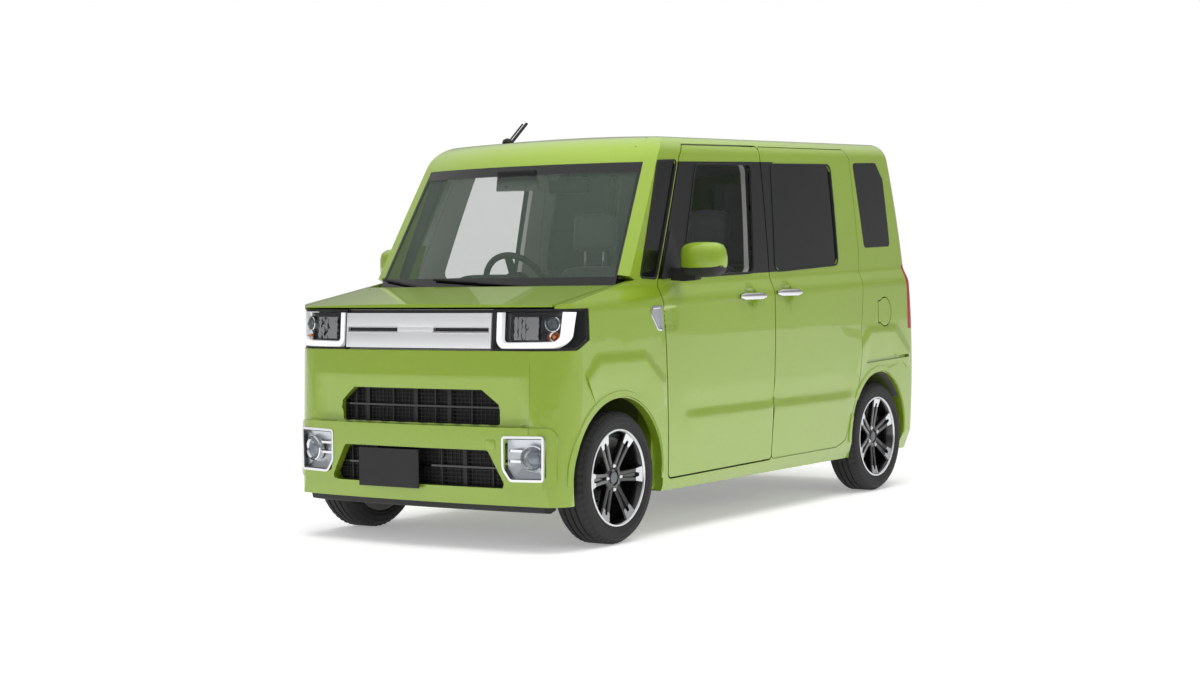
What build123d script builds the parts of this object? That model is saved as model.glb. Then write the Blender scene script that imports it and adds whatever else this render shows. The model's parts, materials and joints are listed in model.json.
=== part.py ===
import os
from math import acos, atan2, cos, degrees, hypot, pi, radians, sin, sqrt, tan

from build123d import *

# Driving sizes in mm: +X forward, +Y to the car's left, +Z up, ground at zero
length = 3395
width = 1475
wheelbase = 2455
front_axle_x = 1215
tyre_radius = 281
tyre_width = 165
front_track = 1300
rear_track = 1290
roof_height = 1788          # crown at mid length
rise = 0.0286               # belt and roof climb towards the rear
sill_z = 192
floor_z = 225
floor_thick = 65
deck_z = 470                # cargo floor
wall = 50                   # doors and body sides
fender_wall = 40
glass_inset = 5
glass_thick = 6
shut_gap = 7.5                # round a moving panel
seam = 4                    # groove round a fixed panel
seam_depth = 8
steer_limit = 35
bonnet_half = 668
grille_half = 393
lamp_top_z = 1000
bumper_top_z = 828
tailgate_half = 580
tailgate_bottom = 640
tailgate_top = 1735
roof_half = 525
pin_radius = 3
pin_play = 0.3
eye_radius = 5.5
pin_skin = 6                # hinge axis to the inner face of the skin over it
hinge_inset = 12.5          # door axis inside the car's widest line
door_axis_x = 800

half_length = length / 2
half_width = width / 2
rear_axle_x = front_axle_x - wheelbase
front_y = front_track / 2
rear_y = rear_track / 2
floor_top = floor_z + floor_thick
far = half_length + 60
parts = {}
made = {}


def polygon(points, radius=0):
    face = make_face(Polyline(*points, close=True))
    return fillet(face.vertices(), radius) if radius else face


def prism_x(points, x0, x1, radius=0):
    return Pos(x0, 0, 0) * extrude(Plane.YZ * polygon(points, radius), amount=x1 - x0)


def prism_y(points, y0, y1, radius=0):
    return Pos(0, y1, 0) * extrude(Plane.XZ * polygon(points, radius), amount=y1 - y0)


def prism_z(points, z0, z1, radius=0):
    return Pos(0, 0, z0) * extrude(polygon(points, radius), amount=z1 - z0)


def box(x0, x1, y0, y1, z0, z1):
    return Pos((x0 + x1) / 2, (y0 + y1) / 2, (z0 + z1) / 2) * Box(x1 - x0, y1 - y0, z1 - z0)


def rod(start, end, radius):
    way = Vector(*end) - Vector(*start)
    low = (Align.CENTER, Align.CENTER, Align.MIN)
    return Plane(origin=start, z_dir=way) * Cylinder(radius, way.length, align=low)


def drum(x, y0, y1, z, radius):
    return rod((x, y0, z), (x, y1, z), radius)


def mirrored(shape):
    return shape.mirror(Plane.XZ)


def pair(shape):
    return Compound(children=[*shape.solids(), *mirrored(shape).solids()])


def group(*shapes):
    return Compound(children=[s for shape in shapes for s in shape.solids()])


def section(inset):
    # cross-section at mid length, drawn in Y and Z
    w = half_width - inset
    foot, low, mid, waist = (w - 60, 120), (w - 14, 240), (w, 650), (w - 5, 1045)
    belt, glass, rail = (w - 36, 1112), (w - 61, 1400), (w - 101.5, roof_height - 20 - inset)
    crown = (0, roof_height - inset)
    edges = []
    for side in (1, -1):
        def at(p):
            return (side * p[0], p[1])
        edges += [Line(at(foot), at(low)), ThreePointArc(at(low), at(mid), at(waist))]
        edges += [Line(at(waist), at(belt)), ThreePointArc(at(belt), at(glass), at(rail))]
    edges += [ThreePointArc(rail, crown, (-rail[0], rail[1])), Line((-foot[0], foot[1]), foot)]
    face = make_face(edges)
    for corner, radius in ((rail, max(90 - inset, 35)), (waist, 120), (belt, 60)):
        picked = [v for v in face.vertices() if hypot(abs(v.X) - corner[0], v.Y - corner[1]) < 1]
        face = fillet(picked, radius)
    return face


def tube(inset):
    if ("tube", inset) not in made:
        made["tube", inset] = draw_tube(inset)
    return made["tube", inset]


def draw_tube(inset):
    face = Pos(-far, 0, far * rise) * (Plane.YZ * section(inset))
    return extrude(face, amount=2 * far * sqrt(1 + rise**2), dir=(1, 0, -rise))


def revolved(edges, axis_x, half_angle):
    axis = Axis((axis_x, 0, 0), (0, 0, 1))
    face = (Plane.XZ * make_face(edges)).rotate(axis, -half_angle)
    return revolve(face, axis, 2 * half_angle)


# windscreen: a cone with a rounded brow, as the space in front of it
screen_base = (1212, 1105)
screen_top = (904, 1632)
screen_plan = 2000
brow = 220
screen_lean = (screen_base[0] - screen_top[0]) / (screen_top[1] - screen_base[1])
screen_axis = screen_base[0] - screen_plan


def screen(back=0):
    start = (screen_top[0] - screen_lean * 14, screen_top[1] + 14)
    slope = atan2(1, screen_lean)
    cx, cz = start[0] - brow * sin(slope), start[1] - brow * cos(slope)
    a0, a1 = pi / 2 - slope, radians(84)

    def on(a):
        return (cx + brow * cos(a), cz + brow * sin(a))
    end = on(a1)
    tail = (end[0] - 500 * sin(a1), end[1] + 500 * cos(a1))
    foot = (screen_base[0] + screen_lean * (screen_base[1] - 100), 100)
    edges = [Line(foot, start), ThreePointArc(start, on((a0 + a1) / 2), end), Line(end, tail),
             Polyline(tail, (tail[0], 2200), (2400, 2200), (2400, 100), foot)]
    return Pos(-back, 0, 0) * revolved(edges, screen_axis, 35)


# tail: a leaning arc with a rounded brow, as the space behind it
tail_low = (-1690, 100)
tail_mid = (-half_length, 560)
tail_high = (-1590, 1725)
tail_plan = 20000


def tail(ahead=0):
    back = ThreePointArc(tail_low, tail_mid, tail_high)
    way = back % 1
    radius = 120
    cx, cz = tail_high[0] + radius * way.Y, tail_high[1] - radius * way.X
    a0, a1 = pi - atan2(tail_high[1] - cz, cx - tail_high[0]), radians(97)

    def on(a):
        return (cx + radius * cos(a), cz + radius * sin(a))
    end = on(a1)
    tip = (end[0] + 300 * sin(a1), end[1] - 300 * cos(a1))
    edges = [back, ThreePointArc(tail_high, on((a0 + a1) / 2), end), Line(end, tip),
             Polyline(tip, (tip[0], 2200), (-2100, 2200), (-2100, 100), tail_low)]
    return Pos(ahead, 0, 0) * revolved(edges, tail_mid[0] + tail_plan, 4)


# nose: a leaning arc, as the space in front of it
nose_plan = 6000
plate_thick = 5
bar_proud = 12
nose_x = half_length - bar_proud - plate_thick


def nose_front(back=0):
    face = ThreePointArc((1668, 100), (nose_x, 430), (1652, 1060))
    edges = [face, Polyline((1652, 1060), (1652, 2200), (2100, 2200), (2100, 100), (1668, 100))]
    return Pos(-back, 0, 0) * revolved(edges, nose_x - nose_plan, 12)


bonnet_lip = (1655, 1022)
bonnet_rear = (1225, 1102)
bonnet_slope = (bonnet_rear[1] - bonnet_lip[1]) / (bonnet_lip[0] - bonnet_rear[0])


def above_bonnet(drop=0):
    back = (500, bonnet_rear[1] + bonnet_slope * (bonnet_rear[0] - 500))
    front = (2200, bonnet_lip[1] - bonnet_slope * (2200 - bonnet_lip[0]))
    edges = [Polyline(back, front, (2200, 2300), (500, 2300), back)]
    return Pos(0, 0, -drop) * revolved(edges, screen_axis, 40)


def bonnet_z(x, y):
    reach = hypot(x - screen_axis, y) + screen_axis
    return bonnet_rear[1] - bonnet_slope * (reach - bonnet_rear[0])


# corner of the nose in plan, as the space outside it
corner = 170
corner_at = (1502, half_width + 1 - corner)
nose_lean = 0.035


def nose_corner(inset=0):
    r = corner - inset
    a, b = corner_at[0], corner_at[1]
    start, mid = (a, b + r), (a + r * cos(pi / 4), b + r * sin(pi / 4))
    end = (a + r * cos(radians(4)), b + r * sin(radians(4)))
    rim = [ThreePointArc(start, mid, end), Polyline(end, (2200, end[1] + 60), (2200, 1200), (a, 1200), start)]
    tool = extrude(make_face(rim), amount=1400 * sqrt(1 + nose_lean**2), dir=(-nose_lean, 0, 1))
    return tool + mirrored(tool)


def edge_chain(shape, tool, keep):
    faces = [f for f in tool.faces() if f.geom_type != GeomType.PLANE]

    def touches(p):
        return any(f.distance_to(Vertex(p.X, p.Y, p.Z)) < 0.05 for f in faces)
    return [e for e in shape.edges() if keep(e @ 0.5) and all(touches(e @ t) for t in (0.1, 0.5, 0.9))]


above_sill = box(-2000, 2000, -900, 900, sill_z, 2300)
skin = tube(0)
tail_space = tail()
cabin = (skin & above_sill) - screen() - tail_space
cabin = fillet(edge_chain(cabin, tail_space, lambda p: p.X < -1300 and p.Z > 200 and abs(p.Y) > 1), 70)
room = tube(wall) - screen(45) - tail(wall)
shell = cabin - room
nose = ((skin & box(700, 2000, -900, 900, sill_z, 2300)) - nose_front() - nose_corner()) - above_bonnet()


def nose_in(t):
    if ("nose", t) not in made:
        made["nose", t] = draw_nose(t)
    return made["nose", t]


def draw_nose(t):
    hollow = (tube(t) & box(600, 2000, -900, 900, 0, 2300)) - nose_front(t) - nose_corner(t)
    return hollow - above_bonnet(t)


# side-view outlines in X and Z
front_door_line = [(820, 247), (846, 900), (858, 1085), (575, 1660), (530, 1716), (-152, 1738), (-137, 1128),
                   (-128, 867), (-95, 258)]
rear_door_line = [(-102, 258), (-135, 867), (-144, 1128), (-159, 1738), (-1040, 1764), (-1085, 1715),
                  (-1090, 1250), (-1032, 840), (-1018, 640), (-1000, 560), (-905, 361), (-866, 292), (-780, 262)]
front_window_line = [(650, 1125), (440, 1632), (-52, 1650), (12, 1143)]
rear_window_line = [(-205, 1149), (-255, 1656), (-860, 1676), (-850, 1180)]
quarter_line = [(985, 1128), (868, 1122), (612, 1640), (762, 1632)]
rear_quarter_line = [(-1160, 1262), (-1118, 1700), (-1385, 1712), (-1452, 1625), (-1462, 1272)]
fender_line = [(827, 247), (853, 900), (865, 1085), (868, 1106), (1020, 1106), (1230, 1200), (1700, 1200),
               (1700, lamp_top_z), (1437, lamp_top_z), (1437, 868), (1522, bumper_top_z), (1481, 739), (1431, 655),
               (1360, 540), (1215, 281)]
bumper_line = [(1800, 100), (1800, bumper_top_z), (1522, bumper_top_z), (1481, 739), (1431, 655), (1360, 540),
               (1330, 100)]
lamp_line = [(1800, bumper_top_z), (1800, lamp_top_z), (1437, lamp_top_z), (1437, 868), (1522, bumper_top_z)]
rear_bumper_line = [(-2000, 100), (-2000, tailgate_bottom - shut_gap), (-1560, tailgate_bottom - shut_gap),
                    (-1520, 655), (-1480, 655), (-1480, 100)]


def side(outline, y0=300, y1=900):
    return Pos(0, y1, 0) * extrude(Plane.XZ * outline, amount=y1 - y0)


front_arch = drum(front_axle_x, 300, 900, tyre_radius, 338)
arch_z = tyre_radius + 31
rear_arch = drum(rear_axle_x, 520, 900, arch_z, 306)
left_half = box(-2000, 2000, 0.5, 900, 0, 2300)
glass_zone = tube(glass_inset) - tube(glass_inset + glass_thick)
groove_zone = skin - tube(seam_depth)



def hinge(frame, back, leg, reach, arm=24):
    # local X to the pillar, Y outwards, Z along the pin: pocket in the panel, its pin, the body's arm
    free = arm / 2 + 6
    pocket = frame * box(-eye_radius - 6, back, -130, pin_skin, -free, free)
    pin = frame * rod((0, 0, -free - 8), (0, 0, free + 8), pin_radius)
    knee = rod((0, 0, -arm / 2), (0, 0, arm / 2), eye_radius)
    knee += box(-eye_radius, 4, -leg - 12, 0, -arm / 2, arm / 2)
    knee += box(-eye_radius, reach, -leg - 12, -leg, -arm / 2, arm / 2)
    return pocket, pin, frame * (knee - rod((0, 0, -arm), (0, 0, arm), pin_radius + pin_play))


# windscreen and roof
cowl_top = 1040
screen_line = [(-654, cowl_top), (654, cowl_top), (595, 1632), (-595, 1632)]
screen_hole = prism_x(screen_line, 500, 1400)
parts["windscreen"] = (screen(12) - screen()) & tube(20) & screen_hole
roof_zone = box(-2000, 1000, -roof_half, roof_half, 1600, 2300)
tailgate_zone = box(-2000, -1450, -tailgate_half - shut_gap, tailgate_half + shut_gap, tailgate_bottom - shut_gap,
                    tailgate_top + shut_gap)
roof_panel = (shell & roof_zone) - screen_hole - tailgate_zone

# doors and body sides
door_inner_y = 590
front_panel = side(polygon(front_door_line, 20), door_inner_y)
front_hole = side(offset(polygon(front_door_line, 20), amount=shut_gap), door_inner_y - shut_gap)
rear_panel = side(polygon(rear_door_line, 20), door_inner_y)
rear_groove = side(offset(polygon(rear_door_line, 20), amount=seam))
front_window = side(polygon(front_window_line, 30))
rear_window = side(polygon(rear_window_line, 40))
quarter_hole = side(polygon(quarter_line, 12))
rear_quarter_hole = side(polygon(rear_quarter_line, 25))
left_shell = (shell & left_half) - quarter_hole - rear_quarter_hole
lamp_zone = box(-2000, -1577, tailgate_half + shut_gap, 900, 836, 1173)
rear_bumper_zone = prism_y(rear_bumper_line, -900, 900)
body_left = left_shell - roof_zone - screen_hole - front_hole - rear_panel - (rear_groove & groove_zone)
body_left = body_left - tailgate_zone - rear_arch - lamp_zone
body_left = body_left - rear_bumper_zone - box(868, 2000, 0, 900, 0, 1106) - side(polygon(fender_line))
pillar = (tube(fender_wall) - tube(110)) & box(868, 910, 300, 900, 200, 1106)
body_left = body_left + pillar

left_door = (left_shell & front_panel) - front_window
slider = (left_shell & rear_panel) - rear_window
door_axis_y = half_width - hinge_inset
for z, edge in ((420, 826.8), (860, 844.4)):
    frame = Plane(origin=(door_axis_x, door_axis_y, z), x_dir=(1, 0, 0), z_dir=(0, 0, 1))
    pocket, pin, arm = hinge(frame, edge - door_axis_x + 1, 62, 90)
    left_door = left_door - pocket + pin
    body_left = body_left + arm
rail = prism_y([(-1095, 668), (-1575, 684), (-1575, 700), (-1095, 684)], 725, 900)
body_left = body_left - rail
body_right = mirrored(body_left)
fuel_at = (-1305, 930)
fuel_radius = 72
lid_edge = 54                # half of the straight edge at the lid's hinge


def lid_form(inner_y, grow=0):
    x, z = fuel_at
    edge = lid_edge + grow
    front = box(x + 20, x + fuel_radius + grow, inner_y, 900, z - edge, z + edge)
    return drum(x, inner_y, 900, z, fuel_radius + grow) + front


fuel_pocket = lid_form(690, 6)
fuel_lid = lid_form(600) & (skin - tube(6))
fuel_axis = (fuel_at[0] + fuel_radius - 14, half_width - 13)
lid_frame = Plane(origin=(fuel_axis[0], fuel_axis[1], fuel_at[1]), x_dir=(1, 0, 0), z_dir=(0, 0, 1))
lid_ears = box(-4, 4, -4, 8, 8, 13) + box(-4, 4, -4, 8, -13, -8) + rod((0, 0, -13), (0, 0, 13), 2)
lid_arm = rod((0, 0, -7), (0, 0, 7), 4) + box(-4, 4, -40, 0, -7, 7) - rod((0, 0, -8), (0, 0, 8), 2 + pin_play)
fuel_lid = fuel_lid + (lid_frame * lid_ears)
lid_floor = lid_form(684, 12) & box(-2000, 0, 684, 692, 0, 2000)
body_left = body_left - fuel_pocket + lid_floor + lid_frame * lid_arm
parts["body_side_left"] = body_left
parts["body_side_right"] = body_right
parts["door_left"] = left_door
parts["door_right"] = mirrored(left_door)
parts["sliding_door_left"] = slider
parts["sliding_door_right"] = mirrored(slider)
parts["fuel_lid"] = fuel_lid
door_pane = glass_zone & front_window
parts["door_glass_left"] = door_pane
parts["door_glass_right"] = mirrored(door_pane)
fixed_panes = (glass_zone & rear_window) + ((skin - tube(glass_thick)) & rear_quarter_hole)
fixed_panes = fixed_panes + ((glass_zone & quarter_hole) - screen(0))
parts["side_glasses"] = pair(fixed_panes)

# tailgate
tailgate = shell & box(-2000, -1400, -tailgate_half, tailgate_half, tailgate_bottom, tailgate_top)
tail_window = prism_x([(-500, 1180), (500, 1180), (470, 1640), (-470, 1640)], -2000, -1400, 50)
tailgate = tailgate - tail_window
tail_axis = (-1583, tailgate_top - 45)
for y in (-300, 300):
    frame = Plane(origin=(tail_axis[0], y, tail_axis[1]), x_dir=(0, 0, 1), z_dir=(0, -1, 0))
    pocket, pin, arm = hinge(frame, 46, 62, 105)
    tailgate = tailgate - pocket + pin
    roof_panel = roof_panel + arm
parts["tailgate"] = tailgate
parts["tailgate_glass"] = (tail(12) - tail(5)) & tail_window
parts["roof_panel"] = roof_panel
lamps = left_shell & lamp_zone
parts["tail_lamps"] = pair(lamps)
parts["rear_bumper"] = (shell & rear_bumper_zone) - rear_arch - mirrored(rear_arch)

# nose panels
behind_skin = nose_in(fender_wall)
nose_shell = nose - behind_skin
fender = (nose_shell & left_half & side(polygon(fender_line))) - front_arch
fender = fender - box(0, 2000, 0, bonnet_half + shut_gap, 900, 2000)
parts["front_fenders"] = pair(fender)
bar_line = [(-690, 268), (690, 268), (690, 515), (-690, 515)]
bar = prism_x(bar_line, 1450, 1760, 40) - nose_front(-bar_proud) - nose_corner(-8) - behind_skin
bumper = (nose_shell & prism_y(bumper_line, -900, 900)) + bar
bumper = bumper - front_arch - mirrored(front_arch)
intake_upper = prism_x([(-424, 522), (424, 522), (424, 606), (345, 667), (-345, 667), (-424, 606)], 1500, 1800, 10)
intake_lower = prism_x([(-475, 263), (475, 263), (385, 420), (-385, 420)], 1500, 1800, 20)
fog_hole = prism_x([(469, 297), (655, 297), (655, 475), (469, 475)], 1500, 1800, 25)
fog_hole = fog_hole + mirrored(fog_hole)
bumper = bumper - intake_upper - intake_lower - fog_hole
bumper = bumper + (box(1590, 1680, -300, 300, 440, 500) & nose_in(20))
parts["front_bumper"] = bumper
mesh_zone = nose_in(22) - nose_in(34)
parts["intake_grilles"] = group(mesh_zone & intake_upper, mesh_zone & intake_lower)
parts["fog_lamps"] = (nose_in(-2) - nose_in(38)) & fog_hole
grille_zone = box(1500, 1800, -grille_half, grille_half, bumper_top_z, lamp_top_z)
grille = (nose - nose_in(30)) & grille_zone
for z in (880, 930):
    for y in (-230, 230):
        grille = grille - (prism_x([(y - 130, z), (y + 130, z), (y + 130, z + 18), (y - 130, z + 18)], 1500, 1800, 6)
                           & (nose - nose_in(16)))
parts["grille_panel"] = grille
lamp_side = prism_y(lamp_line, grille_half, 900)
lens = (nose - nose_in(6)) & lamp_side
lamp_body = (nose_in(6) - nose_in(80)) & lamp_side
lamp_core = prism_y([(x, z) for x, z in ((1800, bumper_top_z + 10), (1800, lamp_top_z - 10),
                     (1452, lamp_top_z - 10), (1452, 878), (1526, bumper_top_z + 10))], grille_half + 10, 900)
lamp_body = lamp_body - ((nose_in(2) - nose_in(60)) & lamp_core)
parts["headlamp_lenses"] = pair(lens)
parts["headlamps"] = pair(lamp_body)
bonnet_edge = Pos(screen_axis, 0, 0) * Cylinder(screen_plan + 70, 4000)
bonnet = (nose & above_bonnet(25) & box(800, 2000, -bonnet_half, bonnet_half, lamp_top_z + shut_gap, 2000)) - bonnet_edge
bonnet_axis = (1178, bonnet_z(1178, 600) - 15)
firewall_x = 885
cowl = box(firewall_x, 1285, -720, 720, 1000, cowl_top) & tube(fender_wall)
cowl = cowl - above_bonnet(52) - pillar - mirrored(pillar)
ax, az = bonnet_axis
for y in (-600, 600):
    for lug in (y - 18, y + 8):
        bonnet = bonnet + box(ax - 8, ax + 60, lug, lug + 10, az - 6, az + 6)
    bonnet = bonnet + rod((ax, y - 18, az), (ax, y + 18, az), pin_radius)
    post = box(ax - 7, ax + 7, y - 6, y + 6, cowl_top - 5, az) + rod((ax, y - 6, az), (ax, y + 6, az), 7)
    cowl = cowl + (post - rod((ax, y - 7, az), (ax, y + 7, az), pin_radius + pin_play))
parts["bonnet"] = bonnet
parts["cowl"] = cowl

# floor, firewall and engine bay frame
inner = tube(wall)
hull_inside = inner - tail(wall)
base = box(-960, firewall_x + 25, -900, 900, floor_z, floor_top)
base = base + box(-1000, -960, -900, 900, floor_z, deck_z) + box(-2000, -960, -900, 900, deck_z - 40, deck_z)
for house in (drum(rear_axle_x, 500, 900, arch_z, 326), drum(rear_axle_x, -900, -500, arch_z, 326)):
    base = base + (house & box(-2000, -900, -900, 900, arch_z, 1000))
base = base - rear_arch - mirrored(rear_arch)
board_z = deck_z + 8
base = base + box(-1600, -1040, -485, 485, deck_z, board_z)
door_sweep = box(760, 868, 655, 900, floor_z + 15, floor_top + 1)
floor = (base & hull_inside) - pillar - mirrored(pillar) - door_sweep - mirrored(door_sweep)
axle_room = box(rear_axle_x - 330, -1000, -500, 500, 0, deck_z - 40)
floor = floor - axle_room - drum(rear_axle_x, -600, 600, tyre_radius, 100)
parts["floor_pan"] = floor
apron_y = 385
apron_thick = 10
tower_z = 790
frame_nose = 1590
bay = box(firewall_x, firewall_x + 25, -900, 900, floor_top, 1000) & tube(fender_wall)
bay = bay - pillar - mirrored(pillar)
wing = box(firewall_x + 25, frame_nose, apron_y, apron_y + apron_thick, floor_z, 820)
wing = wing + (box(1120, 1310, apron_y, 900, tower_z, tower_z + 12) & tube(fender_wall))
bay = bay + wing + mirrored(wing) + box(frame_nose - 30, frame_nose, -apron_y, apron_y, floor_z, 960)
radiator = box(1540, 1640, -330, 330, 300, 700)
bay = bay - radiator
bay = bay - box(firewall_x - 1, firewall_x + 26, -900, 900, 0, floor_top)

# steering knuckles, turning about the line from strut top to ball joint
king_top = Vector(front_axle_x, 520, tower_z)
king_low = Vector(front_axle_x, 612, 160)
king_way = (king_low - king_top).normalized()
mount_radius = 20
ball_radius = 8
arm_z = 160
arm_thick = 16


def along_king(start, end, radius):
    # distances down the steering axis from the strut top
    return rod(tuple(king_top + king_way * start), tuple(king_top + king_way * end), radius)


strut_hole = along_king(-60, 60, mount_radius + pin_play)
bay = bay - strut_hole - mirrored(strut_hole)
parts["front_frame"] = bay
spindle = 22
knuckle = along_king(-12, 40, mount_radius) + along_king(20, 30, 52) + along_king(30, 190, 46)
damper_top = tuple(king_top + king_way * 180)
knuckle = knuckle + rod(damper_top, (front_axle_x, 528, 380), 22)
knuckle = knuckle + box(front_axle_x - 35, front_axle_x + 35, 510, 565, 215, 400)
knuckle = knuckle + box(front_axle_x - 25, front_axle_x + 25, 545, 612, 200, 225)
knuckle = knuckle + along_king(575, 645, ball_radius)
knuckle = knuckle + drum(front_axle_x, 560, front_y + 10, tyre_radius, spindle)
knuckle = knuckle + box(front_axle_x - 125, front_axle_x - 30, 545, 565, 235, 330)
knuckle = knuckle + box(front_axle_x - 125, front_axle_x - 62, 545, 618, 235, 330)
parts["knuckle_left"] = knuckle
parts["knuckle_right"] = mirrored(knuckle)
subframe = box(1080, 1350, -apron_y, apron_y, arm_z, 235)
lower_arm = prism_z([(1150, 380), (1280, 380), (1245, 590), (1240, 632), (1190, 632), (1185, 590)], arm_z, arm_z + arm_thick)
lower_arm = lower_arm - along_king(500, 700, ball_radius + pin_play)
subframe = subframe + lower_arm + mirrored(lower_arm)
parts["front_subframe"] = subframe
parts["engine_block"] = box(1010, 1480, -330, 330, 235, 840)

# rear axle
beam = box(rear_axle_x + 60, rear_axle_x + 150, -470, 470, 250, 320)
arm_left = box(rear_axle_x - 40, -1000, 430, 490, 255, 315)
arm_left = arm_left + drum(rear_axle_x, 470, rear_y + 10, tyre_radius, spindle)
arm_left = arm_left + drum(rear_axle_x, 500, 516, tyre_radius, 90)
arm_left = arm_left + rod((rear_axle_x, 440, 300), (rear_axle_x, 440, deck_z - 40), 45)
parts["rear_axle"] = beam + arm_left + mirrored(arm_left)
parts["fuel_tank"] = box(-760, -180, -360, 360, 150, floor_z)
pipe = rod((-1350, 200, 340), (-1350, 200, 430), 8) + box(-1640 + 90, -1300, 60, 380, 330, 400)
parts["exhaust"] = pipe + rod((-1540, 220, 352), (-1640, 220, 352), 20)


def turned(points, way=Axis.Y):
    return revolve(polygon(points), way, 360)


bead = 207
hub_face = -14

# a wheel about the Y axis: radius in X, distance outwards from the tyre's middle in Y
rim_line = [(170, -78), (bead, -78), (bead, -68), (190, -60), (184, 0), (192, 62), (bead, 70), (bead, 76), (199, 76),
            (186, 66), (176, 0), (176, -60), (170, -68)]
rim = turned(rim_line) + turned([(0, hub_face), (62, hub_face), (62, 50), (0, 50)])
for k in range(6):
    for lean in (-13, 13):
        rim = rim + box(40, 188, 34, 60, lean - 8, lean + 8).rotate(Axis.Y, 60 * k)
rim = rim - rod((0, -40, 0), (0, 12, 0), spindle + pin_play)
disc = turned([(32, hub_face - 10), (100, hub_face - 10), (100, hub_face), (32, hub_face)])
seat_radius = bead + pin_play
half_tread = 52
half_tyre = tyre_width / 2
shoulder = tyre_radius - 13
tyre_profile = [Line((seat_radius, -74), (215, -80)), ThreePointArc((215, -80), (248, -half_tyre), (shoulder, -70)),
                Polyline((shoulder, -70), (tyre_radius, -half_tread), (tyre_radius, half_tread), (shoulder, 70)),
                ThreePointArc((shoulder, 70), (248, half_tyre), (215, 80)),
                Polyline((215, 80), (seat_radius, 74), (seat_radius, -74))]
tyre = revolve(make_face(tyre_profile), Axis.Y, 360)
for name, x, y in (("front", front_axle_x, front_y), ("rear", rear_axle_x, rear_y)):
    place = Pos(x, y, tyre_radius)
    parts[f"wheel_{name}_left"] = place * rim
    parts[f"wheel_{name}_right"] = mirrored(place * rim)
    parts[f"tyre_{name}_left"] = place * tyre
    parts[f"tyre_{name}_right"] = mirrored(place * tyre)
    if name == "front":
        parts["brake_disc_left"] = place * disc
        parts["brake_disc_right"] = mirrored(place * disc)

# dashboard, column and steering wheel
driver_y = -330
dash_half = 605              # clear of the doors' hinge ends as they swing
dash = (box(700, firewall_x, -dash_half, dash_half, 800, 1120) & tube(wall + 8))
dash = dash + ((box(740, 1200, -600, 600, cowl_top, 1120) & tube(wall + 8)) - screen(40))
wheel_at = Vector(480, driver_y, 1075)
column_way = Vector(cos(radians(25)), 0, -sin(radians(25)))
column = rod(tuple(wheel_at + column_way * 45), tuple(wheel_at + column_way * 330), 32)
dash = dash - pillar - mirrored(pillar)
dash = dash + column - rod(tuple(wheel_at), tuple(wheel_at + column_way * 150), 10 + pin_play)
parts["dashboard"] = dash
wheel_plane = Plane(origin=wheel_at, x_dir=(0, 1, 0), z_dir=column_way)
steering = Torus(178, 15) + Pos(0, 0, 12) * Cylinder(52, 36)
for turn in (0, 180, 90):
    steering = steering + box(30, 175, -18, 18, -6, 8).rotate(Axis.Z, turn)
steering = steering + rod((0, 0, 0), (0, 0, 140), 10)
parts["steering_wheel"] = wheel_plane * steering

# seats
def seat(y, half, x, base, cushion, top, lean):
    shape = box(x - 480, x - 30, y - half + 60, y + half - 60, floor_top, base)
    shape = shape + box(x - 520, x, y - half, y + half, base, base + cushion)
    back = [(x - 420, base + cushion - 60), (x - 540, base + cushion - 60), (x - 540 - lean, top), (x - 430 - lean, top)]
    shape = shape + prism_y(back, y - half + 10, y + half - 10, 25)
    rest = [(x - 450 - lean, top + 40), (x - 550 - lean, top + 40), (x - 560 - lean, top + 250), (x - 470 - lean, top + 250)]
    for at in ([y] if half < 300 else [y - 300, y + 300]):
        shape = shape + prism_y(rest, at - 130, at + 130, 20)
        for post in (-60, 60):
            shape = shape + rod((x - 500 - lean, at + post, top - 40), (x - 500 - lean, at + post, top + 80), 7)
    return shape


parts["front_seats"] = group(seat(driver_y, 245, 480, 560, 130, 1205, 160), seat(-driver_y, 245, 480, 560, 130, 1205, 160))
parts["rear_seats"] = seat(0, 560, -370, 500, 120, 1080, 90)
mirror_x = 495
stalk = rod((mirror_x + 20, 0, 1553), (mirror_x + 60, 0, 1800), 9) & tube(wall)
parts["interior_mirror"] = stalk + prism_x([(-110, 1520), (110, 1520), (110, 1586), (-110, 1586)], mirror_x, mirror_x + 24, 20)

# trim
cap = prism_x([(752, 1104), (955, 1120), (962, 1270), (770, 1278)], 690, 775, 30)
foot = box(705, 775, 690, 790, 1100, 1140)
mirror = (cap + foot) - (tube(0) - tube(wall))
parts["mirror_left"] = mirror
parts["mirror_right"] = mirrored(mirror)
handle_z = 1030
front_handle = box(-40, 200, 728, 752, handle_z - 12, handle_z + 12)
rear_handle = box(-391, -151, 728, 752, handle_z + 1, handle_z + 25)
front_bowl = drum(80, 722, 900, handle_z, 48)
rear_bowl = drum(-271, 722, 900, handle_z + 13, 48)
left_door = left_door - front_bowl
parts["door_left"] = left_door
parts["door_right"] = mirrored(left_door)
slider = slider - rear_bowl
parts["sliding_door_left"] = slider
parts["sliding_door_right"] = mirrored(slider)
parts["handle_left"] = front_handle - left_door
parts["handle_right"] = mirrored(front_handle - left_door)
parts["sliding_door_handles"] = pair(rear_handle - slider)
garnish = (tube(-3) - skin) & side(polygon([(872, 890), (880, 1000), (965, 985)], 8))
parts["fender_garnishes"] = pair(garnish)
blades = prism_x([(380, 1078), (-260, 1098), (-260, 1112), (380, 1092)], 800, 1400)
blades = blades + prism_x([(-300, 1078), (-620, 1098), (-620, 1112), (-300, 1092)], 800, 1400)
parts["wipers"] = (screen() - screen(-12)) & blades
parts["antenna"] = rod((590, -300, 1740), (430, -300, 1866), 7) - cabin
plate = box(half_length - plate_thick, half_length, -293, 34, 247, 410)
bracket = box(1600, half_length - plate_thick, -180, -80, 310, 350) - nose_in(22)
parts["number_plate"] = plate + bracket

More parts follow.
